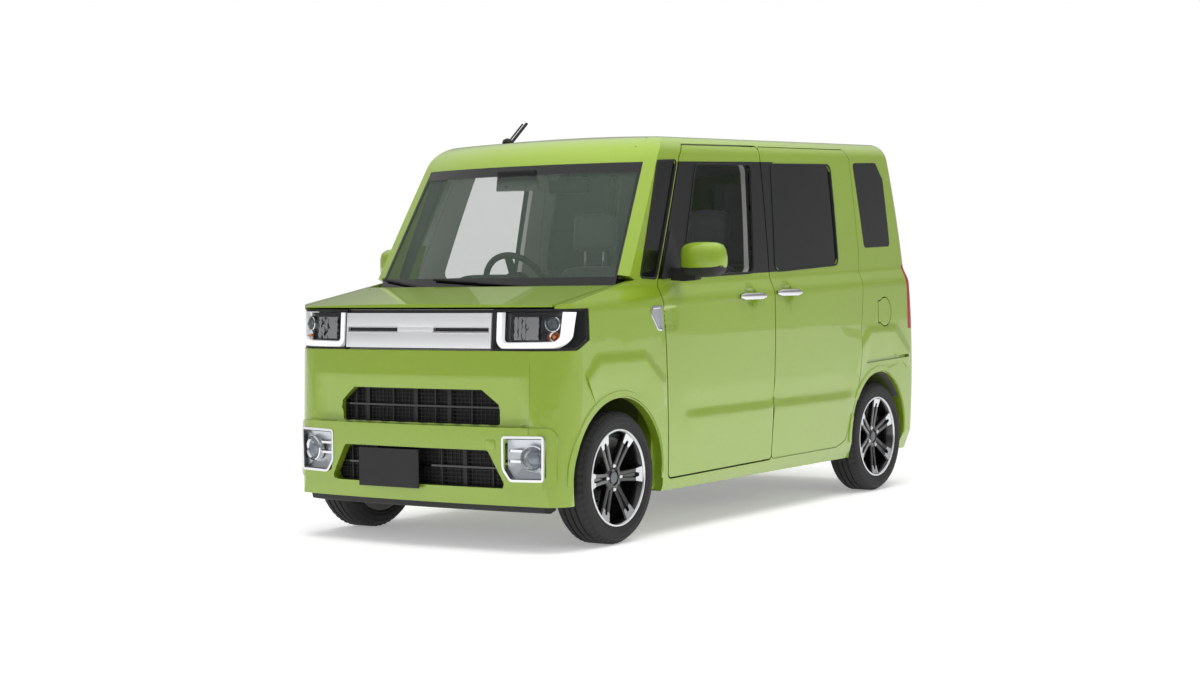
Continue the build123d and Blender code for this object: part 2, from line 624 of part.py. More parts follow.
os.makedirs("parts", exist_ok=True)
for name, shape in parts.items():
    export_step(shape, f"parts/{name}.step")
    print(name, len(shape.solids()), round(shape.volume / 1e6, 2), shape.is_valid)
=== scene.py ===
import json
import math
import bmesh
import bpy
from mathutils import Matrix, Vector
from mathutils.bvhtree import BVHTree


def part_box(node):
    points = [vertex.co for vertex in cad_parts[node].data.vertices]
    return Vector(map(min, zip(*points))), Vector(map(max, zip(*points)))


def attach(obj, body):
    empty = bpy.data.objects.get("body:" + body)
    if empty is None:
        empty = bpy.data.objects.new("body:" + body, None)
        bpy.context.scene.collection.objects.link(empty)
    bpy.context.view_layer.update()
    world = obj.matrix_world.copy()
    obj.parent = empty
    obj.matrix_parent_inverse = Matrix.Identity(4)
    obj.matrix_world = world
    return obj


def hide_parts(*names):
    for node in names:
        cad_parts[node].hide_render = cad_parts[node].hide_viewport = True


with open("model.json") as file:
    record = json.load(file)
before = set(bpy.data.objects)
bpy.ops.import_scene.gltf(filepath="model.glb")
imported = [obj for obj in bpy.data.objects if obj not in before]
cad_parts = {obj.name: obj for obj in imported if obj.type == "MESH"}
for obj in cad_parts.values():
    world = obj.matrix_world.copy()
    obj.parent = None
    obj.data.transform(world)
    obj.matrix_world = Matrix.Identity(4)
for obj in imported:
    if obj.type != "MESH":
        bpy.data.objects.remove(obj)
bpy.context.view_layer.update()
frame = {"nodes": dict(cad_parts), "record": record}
parts = frame["nodes"]
sideNames = {1: "left", -1: "right"}


class Value:  # a shader socket that takes part in sums
    def __init__(self, finish, socket):
        self.finish, self.socket = finish, socket

    def sum(self, kind, *terms):
        return self.finish.node("Math", {"operation": kind}, dict(enumerate(terms)))

    def __add__(self, other):
        return self.sum("ADD", self, other)

    def __radd__(self, other):
        return self.sum("ADD", other, self)

    def __sub__(self, other):
        return self.sum("SUBTRACT", self, other)

    def __rsub__(self, other):
        return self.sum("SUBTRACT", other, self)

    def __mul__(self, other):
        return self.sum("MULTIPLY", self, other)

    def __rmul__(self, other):
        return self.sum("MULTIPLY", other, self)

    def __gt__(self, other):
        return self.sum("GREATER_THAN", self, other)

    def __lt__(self, other):
        return self.sum("LESS_THAN", self, other)

    def least(self, other):
        return self.sum("MINIMUM", self, other)

    def most(self, other):
        return self.sum("MAXIMUM", self, other)

    def wave(self):
        return self.sum("SINE", self)

    def size(self):
        return self.sum("ABSOLUTE", self)


class Nodes:  # a node tree that nodes are added to
    def __init__(self, tree):
        self.tree = tree

    def node(self, kind, settings=None, sockets=None, out=0):
        made = self.tree.nodes.new("ShaderNode" + kind)
        for key, value in (settings or {}).items():
            if key == "stops":
                ramp = made.color_ramp.elements
                while len(ramp) < len(value):
                    ramp.new(0.5)
                for stop, (place, grey) in zip(ramp, value):
                    stop.position, stop.color = place, (grey, grey, grey, 1)
            else:
                setattr(made, key, value)
        for key, value in (sockets or {}).items():
            if isinstance(value, Value):
                self.tree.links.new(value.socket, made.inputs[key])
            else:
                made.inputs[key].default_value = value
        return None if out is None else Value(self, made.outputs[out])

    def greys(self, value, stops):  # a ramp of grey levels
        return self.node("ValToRGB", {"stops": stops}, {0: value})


class Finish(Nodes):  # a material and its main shader
    def __init__(self, name, **sockets):
        self.mat = bpy.data.materials.new(name)
        self.mat.use_nodes = True
        super().__init__(self.mat.node_tree)
        self.shader = self.tree.nodes["Principled BSDF"]
        for key, value in sockets.items():
            self.shader.inputs[key.replace("_", " ")].default_value = value

    def place(self):
        return self.node("TexCoord", out="Object")

    def axes(self):
        place = self.place()
        return [self.node("SeparateXYZ", None, {0: place}, out=k) for k in range(3)]

    def noise(self, scale, detail):
        return self.node("TexNoise", None, {"Vector": self.place(), "Scale": scale, "Detail": detail})

    def cells(self, scale, out="Distance"):
        return self.node("TexVoronoi", None, {"Vector": self.place(), "Scale": scale}, out)

    def blend(self, share, first, second):
        return self.node("Mix", {"data_type": "RGBA"}, {0: share, 6: first, 7: second}, out=2)

    def feed(self, name, value):
        self.tree.links.new(value.socket, self.shader.inputs[name])

    def bump(self, height, strength, distance=0.001):
        sockets = {"Strength": strength, "Distance": distance, "Height": height}
        self.feed("Normal", self.node("Bump", None, sockets))


def rgb(r, g, b):
    def straight(v):
        v /= 255
        return v / 12.92 if v <= 0.04045 else ((v + 0.055) / 1.055) ** 2.4
    return (straight(r), straight(g), straight(b), 1)


paintMix = {"colour": rgb(136, 163, 36), "shade": rgb(116, 144, 27), "black": rgb(12, 12, 13),
            "trim": rgb(92, 92, 94), "lining": rgb(190, 190, 186), "belt": 1.12}


sashLines = {"low": (1.137, 0.0264), "high": (1.662, 0.037), "inner": 0.55,  # height, fall along X
             "front": (0.866, 1.085, 0.492), "rear": (-0.212, 1.14, 0.12)}  # X, at height, lean


def sashMask(x, y, z):  # gloss black between the side windows
    low, high = (start - x * fall for start, fall in (sashLines["low"], sashLines["high"]))
    front, frontLevel, frontLean = sashLines["front"]
    rear, rearLevel, rearLean = sashLines["rear"]
    between = (x + (z - frontLevel) * frontLean < front) * (x + (z - rearLevel) * rearLean > rear)
    return (z > low) * (z < high) * (y.size() > sashLines["inner"]) * between


cabinLimits = {"wide": 0.8015, "narrowing": 0.109, "most": 0.7155, "z": (0.4, 1.69), "rear": -1.5,
               "front": 1.25, "rake": 0.36, "dash": 0.84}


def trimMask(x, y, z):  # inner faces of the painted panels
    c = cabinLimits
    skin = (c["wide"] - z * c["narrowing"]).least(c["most"])
    cabin = (y.size() < skin) * (z > c["z"][0]) * (z < c["z"][1])
    cabin = cabin * (x > c["rear"]) * (x < c["front"] - z * c["rake"])
    return cabin * (1 - (z < paintMix["belt"]) * (x > c["dash"]))


def limePearl(name="limePearl", sash=True):
    finish = Finish(name, Metallic=0.25, Coat_Weight=1.0, Coat_Roughness=0.03, IOR=1.5)
    grain = finish.node("SeparateColor", None, {0: finish.cells(900, "Color")})
    colour = finish.blend(grain * 0.5, paintMix["colour"], paintMix["shade"])
    roughness = 0.30 + grain * 0.10
    if sash:
        x, y, z = finish.axes()
        band, inside = sashMask(x, y, z), trimMask(x, y, z)
        lining = finish.blend(z > paintMix["belt"], paintMix["trim"], paintMix["lining"])
        colour = finish.blend(inside, finish.blend(band, colour, paintMix["black"]), lining)
        roughness = roughness * (1 - band) + band * 0.3
        roughness = roughness * (1 - inside) + inside * 0.8
        finish.feed("Metallic", 0.25 - inside * 0.25)
        finish.feed("Coat Weight", (1 - band * 0.8) * (1 - inside))
    finish.feed("Base Color", colour)
    finish.feed("Roughness", roughness)
    finish.bump(finish.noise(260, 1), 0.015)
    return finish.mat


def mouldedPlastic(name, colour, roughness=0.55, grain=520, depth=0.25):
    finish = Finish(name, IOR=1.48)
    pits = finish.cells(grain)
    cloud = finish.noise(9, 4)
    finish.feed("Base Color", finish.blend(cloud, tuple(c * 0.85 for c in colour[:3]) + (1,), colour))
    finish.feed("Roughness", roughness + cloud * 0.12)
    finish.bump(pits, depth, 0.0004)
    return finish.mat


def glossBlack(name="glossBlack", roughness=0.08):
    finish = Finish(name, Coat_Weight=0.6, Coat_Roughness=0.03)
    cloud = finish.noise(14, 3)
    finish.feed("Base Color", finish.blend(cloud, rgb(9, 9, 10), rgb(16, 16, 17)))
    finish.feed("Roughness", roughness + cloud * 0.05)
    return finish.mat


def clearPane(name, colour, alpha=0.1, band=None):
    finish = Finish(name, Base_Color=colour, Roughness=0.0, IOR=1.45, Coat_Weight=0.25, Coat_Roughness=0.0)
    dust = finish.noise(22, 4)
    share = alpha + dust * 0.02
    if band:  # black border baked on the glass
        share, colourSocket = band(finish, share, colour)
        finish.feed("Base Color", colourSocket)
    finish.feed("Alpha", share)
    return finish.mat


def brightMetal(name, colour, roughness=0.12, brushed=0.0, metal=1.0):
    finish = Finish(name, Base_Color=colour, Metallic=metal)
    cloud = finish.noise(60, 3)
    finish.feed("Roughness", roughness + cloud * 0.08)
    if brushed:
        finish.bump(finish.noise(900, 2), brushed, 0.0002)
    return finish.mat


def tyreRubber(name="tyreRubber"):
    finish = Finish(name, IOR=1.5)
    cloud = finish.noise(30, 5)
    finish.feed("Base Color", finish.blend(cloud, rgb(20, 20, 21), rgb(38, 38, 39)))
    finish.feed("Roughness", 0.62 + cloud * 0.2)
    finish.bump(finish.noise(700, 3), 0.15, 0.0005)
    return finish.mat


def wovenCloth(name, dark, light, pitch=1300):
    finish = Finish(name, Roughness=0.85, Sheen_Weight=0.3)
    x, y, z = finish.axes()
    warp = (y * pitch).wave() * ((x + z) * pitch).wave()
    cloud = finish.noise(40, 4)
    finish.feed("Base Color", finish.blend(warp * 0.25 + cloud * 0.5 + 0.25, dark, light))
    finish.bump(warp, 0.3, 0.0006)
    return finish.mat


screenBorder = {"low": 1.128, "high": 1.588, "half": 0.617, "level": 1.3, "taper": 0.107}


def screenBand(finish, share, colour):  # the windscreen's border
    b = screenBorder
    _, y, z = finish.axes()
    cloud = finish.noise(300, 1)
    wide = b["half"] - (z - b["level"]) * b["taper"]
    edge = (z > b["high"]) + (z < b["low"]) + (y.size() > wide)
    edge = edge.least(1.0)
    dark = finish.blend(edge, colour, rgb(14, 14, 15))
    return share * (1 - edge) + edge * (0.97 + cloud * 0.02), dark


finishes = {
    "paint": limePearl(),
    "frame_paint": mouldedPlastic("primerCoat", rgb(92, 104, 48), 0.5, 300, 0.1),
    "black_plastic": mouldedPlastic("blackPlastic", rgb(28, 28, 29)),
    "interior_plastic": mouldedPlastic("dashPlastic", rgb(62, 63, 66), 0.6, 420, 0.3),
    "clear_glass": clearPane("clearGlass", rgb(30, 40, 34), 0.14),
    "dark_glass": clearPane("privacyGlass", rgb(14, 16, 17), 0.88),
    "silver": brightMetal("satinSilver", rgb(218, 219, 221), 0.34, 0.05, 0.55),
    "lamp_inner": mouldedPlastic("lampHousing", rgb(17, 17, 18), 0.5, 300, 0.05),
    "lens": clearPane("lampLens", rgb(60, 64, 68), 0.07),
    "red_lens": mouldedPlastic("redLens", rgb(150, 12, 14), 0.12, 160, 0.4),
    "chrome": brightMetal("brightChrome", rgb(214, 215, 218), 0.05),
    "cloth": wovenCloth("seatCloth", rgb(82, 82, 84), rgb(120, 120, 122)),
    "steel": brightMetal("bareSteel", rgb(120, 121, 123), 0.38, 0.2),
    "iron": mouldedPlastic("castIron", rgb(66, 66, 67), 0.6, 240, 0.5),
    "alloy": glossBlack("blackAlloy", 0.2),
    "tyre": tyreRubber(),
    "mirror": brightMetal("mirrorGlass", rgb(225, 228, 230), 0.02),
}
for row in frame["record"]["subparts"]:
    thing = parts[row["node"]]
    thing.data.materials.clear()
    thing.data.materials.append(finishes[row["material_slot"]])
parts["interior_mirror"].data.materials[0] = finishes["black_plastic"]
parts["windscreen"].data.materials[0] = clearPane("windscreenGlass", rgb(104, 120, 108), 0.15, screenBand)
print("finishes on", len(parts), "nodes")

studio = {"place": (8.354, 5.445, 1.125), "yaw": 213.956, "pitch": 1.686, "roll": -0.679, "lens": 61.09,
          "lights": {"roofLight": ((0.6, 0.6, 5.2), (0, 0, 0), (6.5, 4.0), 340),  # place, aim, size, power
                     "sideLight": ((1.2, 6.5, 2.6), (0, 0, 0.8), (4.5, 2.4), 70),
                     "noseLight": ((7.0, -2.0, 3.0), (0.8, 0, 0.8), (3.5, 2.5), 60)}}


def setCamera():
    yaw, pitch, roll = (math.radians(studio[k]) for k in ("yaw", "pitch", "roll"))
    ahead = Vector((math.cos(yaw) * math.cos(pitch), math.sin(yaw) * math.cos(pitch), -math.sin(pitch)))
    right = ahead.cross(Vector((0, 0, 1))).normalized()
    up = right.cross(ahead)
    right, up = right * math.cos(roll) + up * math.sin(roll), up * math.cos(roll) - right * math.sin(roll)
    lens = bpy.data.cameras.new("photoCamera")
    lens.lens, lens.sensor_width = studio["lens"], 36
    camera = bpy.data.objects.new("photoCamera", lens)
    camera.matrix_world = Matrix((right, up, -ahead)).transposed().to_4x4()
    camera.location = studio["place"]
    bpy.context.scene.collection.objects.link(camera)
    bpy.context.scene.camera = camera


def softBox(name, place, aim, size, power):
    lamp = bpy.data.lights.new(name, "AREA")
    lamp.shape, lamp.energy = "RECTANGLE", power
    lamp.size, lamp.size_y = size
    box = bpy.data.objects.new(name, lamp)
    box.location = place
    box.rotation_euler = (Vector(aim) - Vector(place)).to_track_quat("-Z", "Y").to_euler()
    box.visible_glossy = False
    bpy.context.scene.collection.objects.link(box)


def setWorld():
    world = bpy.data.worlds.new("studioAir")
    bpy.context.scene.world = world
    world.use_nodes = True
    air = Nodes(world.node_tree)
    air.tree.nodes.clear()
    rays = {k: air.node("LightPath", out=f"Is {k} Ray") for k in ("Camera", "Glossy", "Transmission")}
    way = air.node("TexCoord", out="Generated")
    height = air.node("SeparateXYZ", None, {0: way}, out=2)
    dome = air.greys(height, [(0.0, 0.50), (0.22, 0.28), (0.5, 0.75), (0.85, 1.0)])
    soft = air.node("Background", None, {"Color": (1, 1, 1, 1), "Strength": 0.45})
    shine = air.node("Background", None, {"Color": dome, "Strength": 1.0})
    white = air.node("Background", None, {"Color": (1, 1, 1, 1), "Strength": 1.0})
    lit = air.node("MixShader", None, {0: rays["Glossy"], 1: soft, 2: shine})
    seen = rays["Camera"].most(rays["Transmission"])
    air.node("OutputWorld", None, {0: air.node("MixShader", None, {0: seen, 1: lit, 2: white})}, None)


def setFloor():
    bpy.ops.mesh.primitive_plane_add(size=120, location=(0, 0, -0.0005))
    ground = bpy.context.object
    ground.name = "studioFloor"
    floor = Finish("paleFloor", Roughness=0.75, Emission_Strength=0.62)
    cloud = floor.noise(3, 4)
    floor.feed("Base Color", floor.blend(cloud, rgb(236, 236, 236), rgb(244, 244, 244)))
    x, y, _ = floor.axes()
    far = (x * x + y * y) * 0.02  # the floor glows less round the car
    floor.feed("Emission Color", floor.greys(far, [(0.05, 0.5), (0.9, 1.0)]))
    ground.data.materials.append(floor.mat)


bpy.context.scene.view_settings.view_transform = "Standard"
setCamera()
setWorld()
setFloor()
for name, light in studio["lights"].items():
    softBox(name, *light)
print("camera and studio set")


def sheetOf(*names):  # the nodes' surfaces, to cast rays at
    corners, faces = [], []
    for name in names:
        thing, start = parts[name], len(corners)
        corners += [thing.matrix_world @ v.co for v in thing.data.vertices]
        faces += [[start + k for k in f.vertices] for f in thing.data.polygons]
    return BVHTree.FromPolygons(corners, faces)


noseSheet = sheetOf("headlamp_lenses", "grille_panel", "front_bumper", "fog_lamps", "intake_grilles",
                    "bonnet")
screenSheet = sheetOf("windscreen", "cowl")
flankSheet = sheetOf("door_left", "sliding_door_left", "body_side_left", "side_glasses", "door_glass_left",
                     "front_fenders", "front_bumper", "rear_bumper")
roofSheet = sheetOf("roof_panel", "body_side_left")
tailSheet = sheetOf("tailgate", "tailgate_glass", "rear_bumper", "tail_lamps")
views = {"nose": (noseSheet, lambda u, v: (3, u, v), (-1, 0, 0)),
         "screen": (screenSheet, lambda u, v: (3, u, v), (-1, 0, 0)),
         "flank": (flankSheet, lambda u, v: (u, 3, v), (0, -1, 0)),
         "roof": (roofSheet, lambda u, v: (u, v, 3), (0, 0, -1)),
         "tail": (tailSheet, lambda u, v: (-3, u, v), (1, 0, 0))}


def onCar(view, u, v, proud=0.0):  # a point on the bodywork and the way it faces
    sheet, start, way = views[view]
    spot, facing, _, _ = sheet.ray_cast(Vector(start(u, v)), Vector(way))
    if facing.dot(Vector(way)) > 0:
        facing = -facing
    return spot + facing * proud, facing


def standing(view, way, side=1):  # places points on the bodywork, raised along way
    def place(point, depth):
        spot = onCar(view, *point)[0] + Vector(way) * depth
        return Vector((spot.x, spot.y * side, spot.z))
    return place


def rounded(points, radius, steps=5, loop=True):  # polygon corners turned to arcs
    out, count = [], len(points)
    for k in range(count):
        if not loop and k in (0, count - 1):
            out.append(Vector(points[k]))
            continue
        here = Vector(points[k])
        before, after = Vector(points[k - 1]) - here, Vector(points[(k + 1) % count]) - here
        reach = min(radius, before.length * 0.45, after.length * 0.45)
        a, b = here + before.normalized() * reach, here + after.normalized() * reach
        for s in range(steps + 1):
            t = s / steps
            out.append(a * (1 - t) ** 2 + here * 2 * t * (1 - t) + b * t ** 2)
    return out


def spaced(points, gap, loop=True):  # points set out evenly along a line
    run = points + [points[0]] if loop else points
    out = []
    for a, b in zip(run, run[1:]):
        count = max(1, round((b - a).length / gap))
        out += [a.lerp(b, k / count) for k in range(count)]
    return out if loop else out + [run[-1]]


def shrunk(points, amount):  # an outline moved inwards
    middle = sum(points, Vector((0, 0))) / len(points)
    out = []
    for k, here in enumerate(points):
        along = (points[(k + 1) % len(points)] - points[k - 1]).normalized()
        inward = Vector((-along.y, along.x))
        if inward.dot(middle - here) < 0:
            inward = -inward
        out.append(here + inward * amount)
    return out


def hoop(spot, turn, wide, tall, along, steps):  # a ring of points round a spot
    angles = [2 * math.pi * k / steps for k in range(steps)]
    return [Vector(spot) + turn @ Vector((wide * math.cos(a), tall * math.sin(a), along)) for a in angles]


class Clay:  # one mesh put together from rings of points
    def __init__(self, *coats):
        self.mesh, self.coats, self.coat = bmesh.new(), coats, 0

    def use(self, coat):
        self.coat = coat
        return self

    def face(self, corners):
        made = self.mesh.faces.new(corners)
        made.material_index, made.smooth = self.coat, True

    def skin(self, rings, closed=True, caps=True, coats=None, loop=False):
        rows = [[self.mesh.verts.new(p) for p in ring] for ring in rings]
        count = len(rows[0])
        for k, (a, b) in enumerate(zip(rows, rows[1:] + rows[:1] if loop else rows[1:])):
            self.coat = coats[k] if coats else self.coat
            for i in range(count if closed else count - 1):
                j = (i + 1) % count
                self.face((a[i], a[j], b[j], b[i]))
        if caps and not loop:
            self.face(rows[0][::-1])
            self.face(rows[-1])
        return self

    def lathe(self, profile, spot, way, steps=32, coats=None, caps=True):
        turn = Vector(way).to_track_quat("Z", "Y")
        rings = [hoop(spot, turn, radius, radius, along, steps) for radius, along in profile]
        return self.skin(rings, True, caps, coats)

    def tube(self, path, radius, sides=10, flat=1.0):
        rings = []
        for k, here in enumerate(path):
            ahead = Vector(path[min(k + 1, len(path) - 1)]) - Vector(path[max(k - 1, 0)])
            turn = ahead.to_track_quat("Z", "Y")
            size = radius[k] if isinstance(radius, (list, tuple)) else radius
            rings.append(hoop(here, turn, size, flat * size, 0, sides))
        return self.skin(rings)

    def box(self, low, high):
        def ring(z):
            return [(low[0], low[1], z), (high[0], low[1], z), (high[0], high[1], z), (low[0], high[1], z)]
        return self.skin([ring(low[2]), ring(high[2])])

    def ribbon(self, view, path, wide, proud, sunk=0.003, loop=True):  # a domed strip laid on the bodywork
        rings, count = [], len(path)
        for k, here in enumerate(path):
            before = path[k - 1] if loop or k else path[k]
            after = path[(k + 1) % count] if loop or k + 1 < count else path[k]
            spot, facing = onCar(view, *here)
            ahead = onCar(view, *after)[0] - onCar(view, *before)[0]
            across = ahead.cross(facing).normalized() * wide / 2
            rings.append([spot - across - facing * sunk, spot - across * 0.7 + facing * proud,
                          spot + across * 0.7 + facing * proud, spot + across - facing * sunk])
        return self.skin(rings, True, not loop, None, loop)

    def frame(self, outer, inner, place, back, front):  # a bezel between two outlines; place(point, depth)
        steps = [(outer, back), (outer, front), (inner, front), (inner, back)]
        return self.skin([[place(p, d) for p in line] for line, d in steps], True, False, None, True)

    def patch(self, outline, place, depth, dish=0.0, rows=5):  # a closing sheet, dished towards its middle
        middle = sum(outline, Vector((0, 0))) / len(outline)
        rings = []
        for k in range(rows):
            share = k / rows
            deep = depth - dish * math.sin(share * math.pi / 2)
            rings.append([place(p.lerp(middle, share), deep) for p in outline])
        self.skin(rings, True, False)
        tip = self.mesh.verts.new(place(middle, depth - dish))
        last = list(self.mesh.verts)[-len(outline) - 1:-1]
        for k, corner in enumerate(last):
            self.face((corner, last[(k + 1) % len(last)], tip))
        return self

    def mirrored(self):  # the same on the car's other side
        bmesh.ops.scale(self.mesh, vec=(1, -1, 1), verts=self.mesh.verts)
        bmesh.ops.reverse_faces(self.mesh, faces=self.mesh.faces)

    def done(self, name, body, slot, replaces=(), bevel=0.0, angle=32, mirror=False):
        bmesh.ops.recalc_face_normals(self.mesh, faces=self.mesh.faces)
        if bevel:
            bend = math.radians(angle)
            sharp = [e for e in self.mesh.edges if len(e.link_faces) == 2 and e.calc_face_angle() > bend]
            bmesh.ops.bevel(self.mesh, geom=sharp, offset=bevel, segments=2, profile=0.6, affect="EDGES")
            for f in self.mesh.faces:
                f.smooth = True
        if mirror:
            self.mirrored()
        data = bpy.data.meshes.new(name)
        self.mesh.to_mesh(data)
        data.set_sharp_from_angle(angle=math.radians(angle))
        for coat in self.coats:
            data.materials.append(finishes[coat])
        thing = bpy.data.objects.new(name, data)
        bpy.context.scene.collection.objects.link(thing)
        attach(thing, body)
        if replaces:
            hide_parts(*replaces)
        return thing


finishes["capPaint"] = limePearl("capPaint", False)
finishes["machined"] = brightMetal("machinedFace", rgb(206, 208, 210), 0.22, 0.1)
finishes["capGrey"] = brightMetal("capGrey", rgb(120, 122, 126), 0.4, 0.1)
finishes["glossBlack"] = glossBlack()
finishes["rubber"] = mouldedPlastic("sealRubber", rgb(20, 20, 21), 0.62, 300, 0.1)

wheelSizes = {"lip": 0.2065, "face": 0.076, "hub": 0.062, "cap": 0.026, "nutRing": 0.05, "nuts": 4,
              "spokes": 6, "rib": 0.0095, "rearTurn": 0.45,
              "foot": [(0.1935, -0.034), (0.180, -0.031), (0.153, -0.026), (0.152, -0.011), (0.172, -0.007)]}


def wheelMesh():
    w = wheelSizes
    clay = Clay("alloy", "machined", "capGrey", "chrome")
    axle = (0, 0, 0), (0, 1, 0)
    barrel = [(0.170, -0.078), (0.2065, -0.078), (0.2065, -0.068), (0.190, -0.060), (0.184, 0.0),
              (0.192, 0.062), (w["lip"], 0.070), (w["lip"], 0.075), (0.205, w["face"]), (0.1985, w["face"]),
              (0.195, 0.071), (0.188, 0.060), (0.178, 0.0), (0.176, -0.060), (0.170, -0.068), (0.170, -0.078)]
    clay.lathe(barrel, *axle, 72, [1 if 6 <= k <= 9 else 0 for k in range(15)], False)
    hub = [(0.030, -0.014), (w["hub"], -0.014), (w["hub"], 0.036), (0.058, 0.046), (0.036, 0.050),
           (0.034, 0.044), (0.002, 0.044)]
    clay.use(0).lathe(hub, *axle, 48)
    clay.use(2).lathe([(w["cap"], 0.040), (w["cap"], 0.0505), (0.022, 0.053), (0.002, 0.0535)], *axle, 32)
    for k in range(w["nuts"]):
        a = 2 * math.pi * k / w["nuts"]
        spot = (w["nutRing"] * math.sin(a), 0.040, w["nutRing"] * math.cos(a))
        clay.use(3).lathe([(0.0095, 0), (0.0095, 0.012), (0.006, 0.017), (0.001, 0.0175)], spot, (0, 1, 0), 6)
    stations = [(0.045, 0.013, w["rib"], 0.048, 0.030), (0.09, 0.0145, w["rib"], 0.053, 0.028),
                (0.15, 0.019, w["rib"], 0.061, 0.026),
                (0.191, 0.027, w["rib"] + 0.004, 0.069, 0.026)]  # radius, across, half, face, depth
    foot = w["foot"] + [(r, -v) for r, v in w["foot"][::-1]]

    def lift(r):  # face of a spoke's foot
        return 0.0618 + (r - 0.152) * 0.2
    for k in range(w["spokes"]):
        turn = Matrix.Rotation(2 * math.pi * k / w["spokes"], 3, "Y")
        for lean in (-1, 1):
            rings = []
            for r, v, half, face, depth in stations:
                ring = [(v - half, face - depth), (v - half, face - 0.004), (v - half + 0.003, face),
                        (v + half - 0.003, face), (v + half, face - 0.004), (v + half, face - depth)]
                rings.append([turn @ Vector((r, o, lean * across)) for across, o in ring])
            clay.use(0).skin(rings)
        web = []
        for r, s, f in ((0.05, 0.012, 0.05), (0.15, 0.016, 0.061), (0.191, 0.022, 0.069)):
            ring = (-s, f - 0.022), (-s, f - 0.012), (s, f - 0.012), (s, f - 0.022)
            web.append([turn @ Vector((r, o, v)) for v, o in ring])
        clay.skin(web)
        low = [turn @ Vector((r, lift(r) - 0.012, v)) for r, v in foot]
        high = [turn @ Vector((r, lift(r), v)) for r, v in foot]
        clay.use(1).skin([low, high], coats=[0])
        clay.mesh.faces.ensure_lookup_table()
        clay.mesh.faces[-1].material_index = 1  # only the foot's face is bare
    return clay


tyreSizes = {"steps": 168, "tread": 0.281, "half": 0.052, "groove": 0.006, "wide": 0.008,
             "grooves": (0.030, 0.0, -0.030), "crossCut": 0.0045, "every": 3,
             "shoulder": (0.268, 0.045, 0.0705)}


def tyreMesh():
    t = tyreSizes
    clay = Clay("tyre")
    flank = [(0.2073, 0.070), (0.2075, 0.075), (0.213, 0.0785), (0.2145, 0.0805), (0.218, 0.0808),
             (0.220, 0.0795), (0.229, 0.0815), (0.2305, 0.0825), (0.240, 0.0825), (0.2415, 0.0817),
             (0.252, 0.0805), (0.2535, 0.0812), (0.2565, 0.0802), (0.258, 0.0785), (0.266, 0.0725),
             (0.268, 0.0700), (0.2725, 0.064), (0.277, 0.0585)]  # radius, place across
    crown = [(t["tread"], t["half"])]
    for middle in t["grooves"]:  # round the tread
        deep, half = t["tread"] - t["groove"], t["wide"] / 2
        crown += [(t["tread"], middle + half), (deep, middle + half - 0.001), (deep, middle - half + 0.001),
                  (t["tread"], middle - half)]
    crown.append((t["tread"], -t["half"]))
    profile = flank + crown + [(r, -o) for r, o in flank[::-1]]
    low, near, far = t["shoulder"]
    rings = []
    for k in range(t["steps"]):
        a = 2 * math.pi * k / t["steps"]
        cut = t["crossCut"] if k % t["every"] == 0 else 0.0  # cross grooves on the shoulders
        ring = []
        for r, o in profile:
            drop = cut if r >= low and near < abs(o) < far else 0.0
            ring.append(((r - drop) * math.cos(a), o, (r - drop) * math.sin(a)))
        rings.append(ring)
    clay.skin(rings, True, False, None, True)
    return clay


def makeWheels():
    corners = {"fl": "front_left", "fr": "front_right", "rl": "rear_left", "rr": "rear_right"}
    for short, node in corners.items():
        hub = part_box("tyre_" + node)
        middle = (Vector(hub[0]) + Vector(hub[1])) / 2
        for kind, clay, slot in (("wheel", wheelMesh(), "alloy"), ("tyre", tyreMesh(), "tyre")):
            if node.startswith("rear"):
                turn = Matrix.Rotation(wheelSizes["rearTurn"], 3, "Y")
                bmesh.ops.rotate(clay.mesh, verts=clay.mesh.verts, matrix=turn)
            if node.endswith("right"):
                clay.mirrored()
            bmesh.ops.translate(clay.mesh, vec=middle, verts=clay.mesh.verts)
            clay.done(kind + "Dressed_" + short, "wheel_" + short, slot, [f"{kind}_{node}"], 0, 28)


makeWheels()
print("wheels and tyres made")

noseSpot = standing("nose", (1, 0, 0))
finishes["lightGuide"] = Finish("lightGuide", Base_Color=rgb(232, 236, 240), Roughness=0.25, Coat_Weight=0.5,
                                Emission_Color=(1, 1, 1, 1), Emission_Strength=0.45).mat
finishes["amber"] = mouldedPlastic("amberBulb", rgb(240, 120, 20), 0.15, 200, 0.1)
finishes["domeGlass"] = clearPane("domeGlass", rgb(120, 130, 138), 0.30)

lampSizes = {"guide": [(0.424, 0.986), (0.424, 0.866), (0.442, 0.848), (0.676, 0.852), (0.700, 0.878),
                       (0.708, 0.986)],
             "guideWide": 0.029, "panel": [(0.440, 0.986), (0.440, 0.860), (0.698, 0.862), (0.706, 0.986)],
             "reflector": (0.480, 0.596, 0.872, 0.966), "projector": (0.648, 0.938), "bowl": 0.030,
             "indicator": (0.655, 0.885), "facets": (7, 5), "tilt": 0.006, "rake": 0.018,
             "way": (0.96, 0.28, 0),
             "depths": {"guideBack": -0.030, "guideFace": -0.009, "panel": -0.046, "facet": -0.042,
                        "projector": -0.058, "indicator": -0.050}}  # behind the lens


